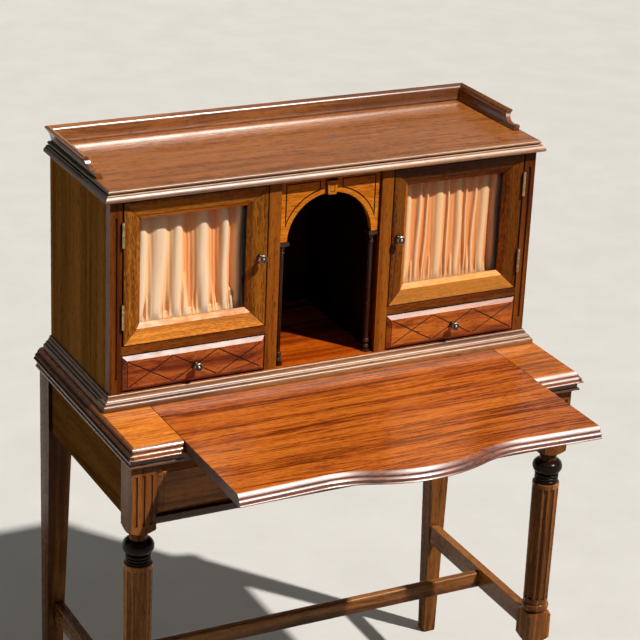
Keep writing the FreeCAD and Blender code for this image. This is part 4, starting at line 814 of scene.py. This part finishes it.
def screw_tree():
    """Slotted screw heads on points: each slot is turned its own way."""
    tree = bpy.data.node_groups.new("slotted_screws", "GeometryNodeTree")
    face = tree.interface
    face.new_socket("Points", in_out="INPUT", socket_type="NodeSocketGeometry")
    keys = {}
    for name, kind in (("Head radius", "Float"), ("Head height", "Float"), ("Slot width", "Float"),
                       ("Metal", "Material")):
        keys[name] = face.new_socket(name, in_out="INPUT", socket_type=f"NodeSocket{kind}").identifier
    face.new_socket("Screws", in_out="OUTPUT", socket_type="NodeSocketGeometry")
    nodes, links = tree.nodes, tree.links
    given = nodes.new("NodeGroupInput").outputs
    head = nodes.new("GeometryNodeMeshCylinder")
    head.inputs["Vertices"].default_value = HEAD_SIDES
    links.new(given["Head radius"], head.inputs["Radius"])
    links.new(given["Head height"], head.inputs["Depth"])
    length = nodes.new("ShaderNodeMath")
    length.operation = "MULTIPLY"
    length.inputs[1].default_value = SLOT_LENGTH
    links.new(given["Head radius"], length.inputs[0])
    size = nodes.new("ShaderNodeCombineXYZ")
    links.new(length.outputs[0], size.inputs["X"])
    links.new(given["Slot width"], size.inputs["Y"])
    links.new(length.outputs[0], size.inputs["Z"])
    slot = nodes.new("GeometryNodeMeshCube")
    links.new(size.outputs[0], slot.inputs["Size"])
    cut = nodes.new("GeometryNodeMeshBoolean")
    cut.operation = "DIFFERENCE"
    links.new(head.outputs["Mesh"], cut.inputs["Mesh 1"])
    links.new(slot.outputs["Mesh"], cut.inputs["Mesh 2"])
    lay = nodes.new("GeometryNodeTransform")
    lay.inputs["Rotation"].default_value = (0, math.pi / 2, 0)
    links.new(cut.outputs["Mesh"], lay.inputs["Geometry"])
    turn = nodes.new("FunctionNodeRandomValue")
    turn.data_type = "FLOAT_VECTOR"
    turn.inputs["Min"].default_value = (0, 0, 0)
    turn.inputs["Max"].default_value = (math.pi, 0, 0)
    turn.inputs["Seed"].default_value = TURN_SEED
    spread = nodes.new("GeometryNodeInstanceOnPoints")
    links.new(given["Points"], spread.inputs["Points"])
    links.new(lay.outputs[0], spread.inputs["Instance"])
    links.new(turn.outputs[0], spread.inputs["Rotation"])
    real = nodes.new("GeometryNodeRealizeInstances")
    links.new(spread.outputs[0], real.inputs[0])
    painted = nodes.new("GeometryNodeSetMaterial")
    links.new(real.outputs[0], painted.inputs["Geometry"])
    links.new(given["Metal"], painted.inputs["Material"])
    links.new(painted.outputs[0], nodes.new("NodeGroupOutput").inputs[0])
    return tree, keys


def hinge_screws():
    """Screws of the fixed leaves on the desk and of the moving leaves on each door."""
    tree, keys = screw_tree()
    settings = {"Head radius": HEAD_RADIUS, "Head height": HEAD_HEIGHT, "Slot width": SLOT_WIDTH,
                "Metal": brass}
    for body, sides in (("desk", (-1, 1)), ("door_left", (-1,)), ("door_right", (1,))):
        rise = HEAD_HEIGHT / 2 if body != "desk" else -HEAD_HEIGHT / 2
        face = LEAF_FACES[body.split("_")[0]] + rise
        places = [(side * face, FACE_Y + deep, DESK_Z + level + up)
                  for side in sides for level in HINGE_LEVELS for deep, up in SCREWS]
        piece = mesh_piece(f"hinge_screws_{body}", places, [], brass)
        maker = piece.modifiers.new("screws", "NODES")
        maker.node_group = tree
        for name, value in settings.items():
            maker[keys[name]] = value
        made = bpy.data.meshes.new_from_object(piece.evaluated_get(bpy.context.evaluated_depsgraph_get()))
        piece.modifiers.clear()
        piece.data = made
        made.name = piece.name
        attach(piece, body)


hinge_screws()

# Studio: reach and sides of the floor, height of the backdrop, in metres
REACH, SIDES, BACKDROP_HEIGHT = 9.0, 64, 3.2
DIM_FRONT = (0.07, 0.07, 0.06)
DIM_BACK = (0.45, 0.50, 0.38)
DIM_FADE = (-0.8, -0.4)
SKY_STOPS = ((0.30, 0.10), (0.85, 1.0))
SKY_ACROSS = (("From Min", -0.5), ("From Max", 0.4), ("To Min", 0.06), ("To Max", 0.28))
KEY_STRENGTH, KEY_ANGLE = 4.6, math.radians(1.6)
KEY_AIM = Vector((-0.36, 0.49, -0.79))
SOFTBOX_STRENGTH, SOFTBOX_SIZE = 6, (2.6, 1.2)
SOFTBOX_PLACE, SOFTBOX_AIM = Vector((0.9, 1.0, 3.2)), Vector((0, 0, 0.9))

# Camera fitted to the photograph: angles in degrees, place in metres, lens and sensor in millimetres
YAW, PITCH, ROLL = 27.637, 22.362, 2.553
CAMERA_PLACE = (-1.60294, -3.03579 + FACE_Y, 1.51216 + DESK_Z)
LENS, SENSOR = 121.41, 36


def floor_and_backdrop():
    """Pale floor and backdrop. To the eye they are bright, but they throw little light on the desk."""
    finish = Finish("pale_floor")
    speck = finish.noise(finish.place(), 6, 3, 0.6)
    pale = finish.ramp(speck, (0.3, (0.56, 0.55, 0.53)), (0.7, (0.60, 0.59, 0.57)))
    _, y, _ = finish.split(finish.place())
    thrown = finish.blend(finish.span(y, *DIM_FADE), DIM_FRONT, DIM_BACK)
    finish.surface(Base_Color=finish.blend(finish.seen(), thrown, pale), Roughness=0.8,
                   Specular_IOR_Level=0.1)
    turns = np.linspace(0, 2 * math.pi, SIDES + 1)[:-1]
    ring = [(REACH * math.cos(turn), REACH * math.sin(turn)) for turn in turns]
    foot = [(x, y, 0) for x, y in ring]
    floor = mesh_piece("studio_floor", foot, [tuple(range(SIDES))], finish.material)

    finish = Finish("pale_backdrop")
    cloth = finish.noise(finish.place(), 3, 2, 0.5)
    pale = finish.ramp(cloth, (0.3, (0.66, 0.65, 0.62)), (0.7, (0.70, 0.69, 0.66)))
    finish.surface(Base_Color=finish.blend(0.5, pale, (0.1, 0.1, 0.1)), Roughness=0.9, Specular_IOR_Level=0.0,
                   Emission_Color=pale, Emission_Strength=finish.seen())
    wall = foot + [(x, y, BACKDROP_HEIGHT) for x, y in ring]
    faces = [(i, i + SIDES, (i + 1) % SIDES + SIDES, (i + 1) % SIDES) for i in range(SIDES)]
    backdrop = mesh_piece("studio_backdrop", wall, faces, finish.material)
    backdrop.visible_shadow = False


def soft_sky():
    """Sky that is bright overhead and dimmer to the left."""
    world = bpy.data.worlds.new("soft_sky")
    scene.world = world
    world.use_nodes = True
    nodes, links = world.node_tree.nodes, world.node_tree.links
    direction = nodes.new("ShaderNodeTexCoord").outputs["Generated"]
    aim = nodes.new("ShaderNodeSeparateXYZ")
    links.new(direction, aim.inputs[0])
    sky = nodes.new("ShaderNodeValToRGB")
    links.new(aim.outputs["Z"], sky.inputs[0])
    for point, (position, level) in zip(sky.color_ramp.elements, SKY_STOPS):
        point.position = position
        point.color = (level, level * 0.98, level * 0.95, 1)
    background = nodes["Background"]
    links.new(sky.outputs[0], background.inputs["Color"])
    across = nodes.new("ShaderNodeMapRange")
    links.new(aim.outputs["X"], across.inputs["Value"])
    for name, level in SKY_ACROSS:
        across.inputs[name].default_value = level
    links.new(across.outputs[0], background.inputs["Strength"])


def hang_light(light, aim):
    """Puts a light in the scene, turned to shine along a direction."""
    lamp = bpy.data.objects.new(light.name, light)
    lamp.rotation_mode = "QUATERNION"
    lamp.rotation_quaternion = aim.to_track_quat("-Z", "Y")
    scene.collection.objects.link(lamp)
    return lamp


def lights():
    """Key light from the right, and a softbox overhead."""
    key = bpy.data.lights.new("key_light", "SUN")
    key.energy = KEY_STRENGTH
    key.angle = KEY_ANGLE
    key.color = (1.0, 0.96, 0.9)
    hang_light(key, KEY_AIM)
    soft = bpy.data.lights.new("overhead_softbox", "AREA")
    soft.shape = "RECTANGLE"
    soft.size, soft.size_y = SOFTBOX_SIZE
    soft.energy = SOFTBOX_STRENGTH
    hang_light(soft, SOFTBOX_AIM - SOFTBOX_PLACE).location = SOFTBOX_PLACE


def viewpoint():
    """Camera of the photograph: its place, aim and tilt in the desk's frame."""
    yaw, pitch, roll = (math.radians(angle) for angle in (YAW, PITCH, ROLL))
    ahead = Vector((math.sin(yaw) * math.cos(pitch), math.cos(yaw) * math.cos(pitch), -math.sin(pitch)))
    right = Vector((math.cos(yaw), -math.sin(yaw), 0))
    up = right.cross(ahead)
    across = right * math.cos(roll) + up * math.sin(roll)
    upward = up * math.cos(roll) - right * math.sin(roll)
    data = bpy.data.cameras.new("viewpoint")
    data.sensor_width = SENSOR
    data.lens = LENS
    camera = bpy.data.objects.new("viewpoint", data)
    place = Matrix((across, upward, -ahead)).transposed().to_4x4()
    place.translation = CAMERA_PLACE
    camera.matrix_world = place
    scene.collection.objects.link(camera)
    scene.camera = camera


floor_and_backdrop()
soft_sky()
lights()
viewpoint()
scene.view_settings.view_transform = "Standard"
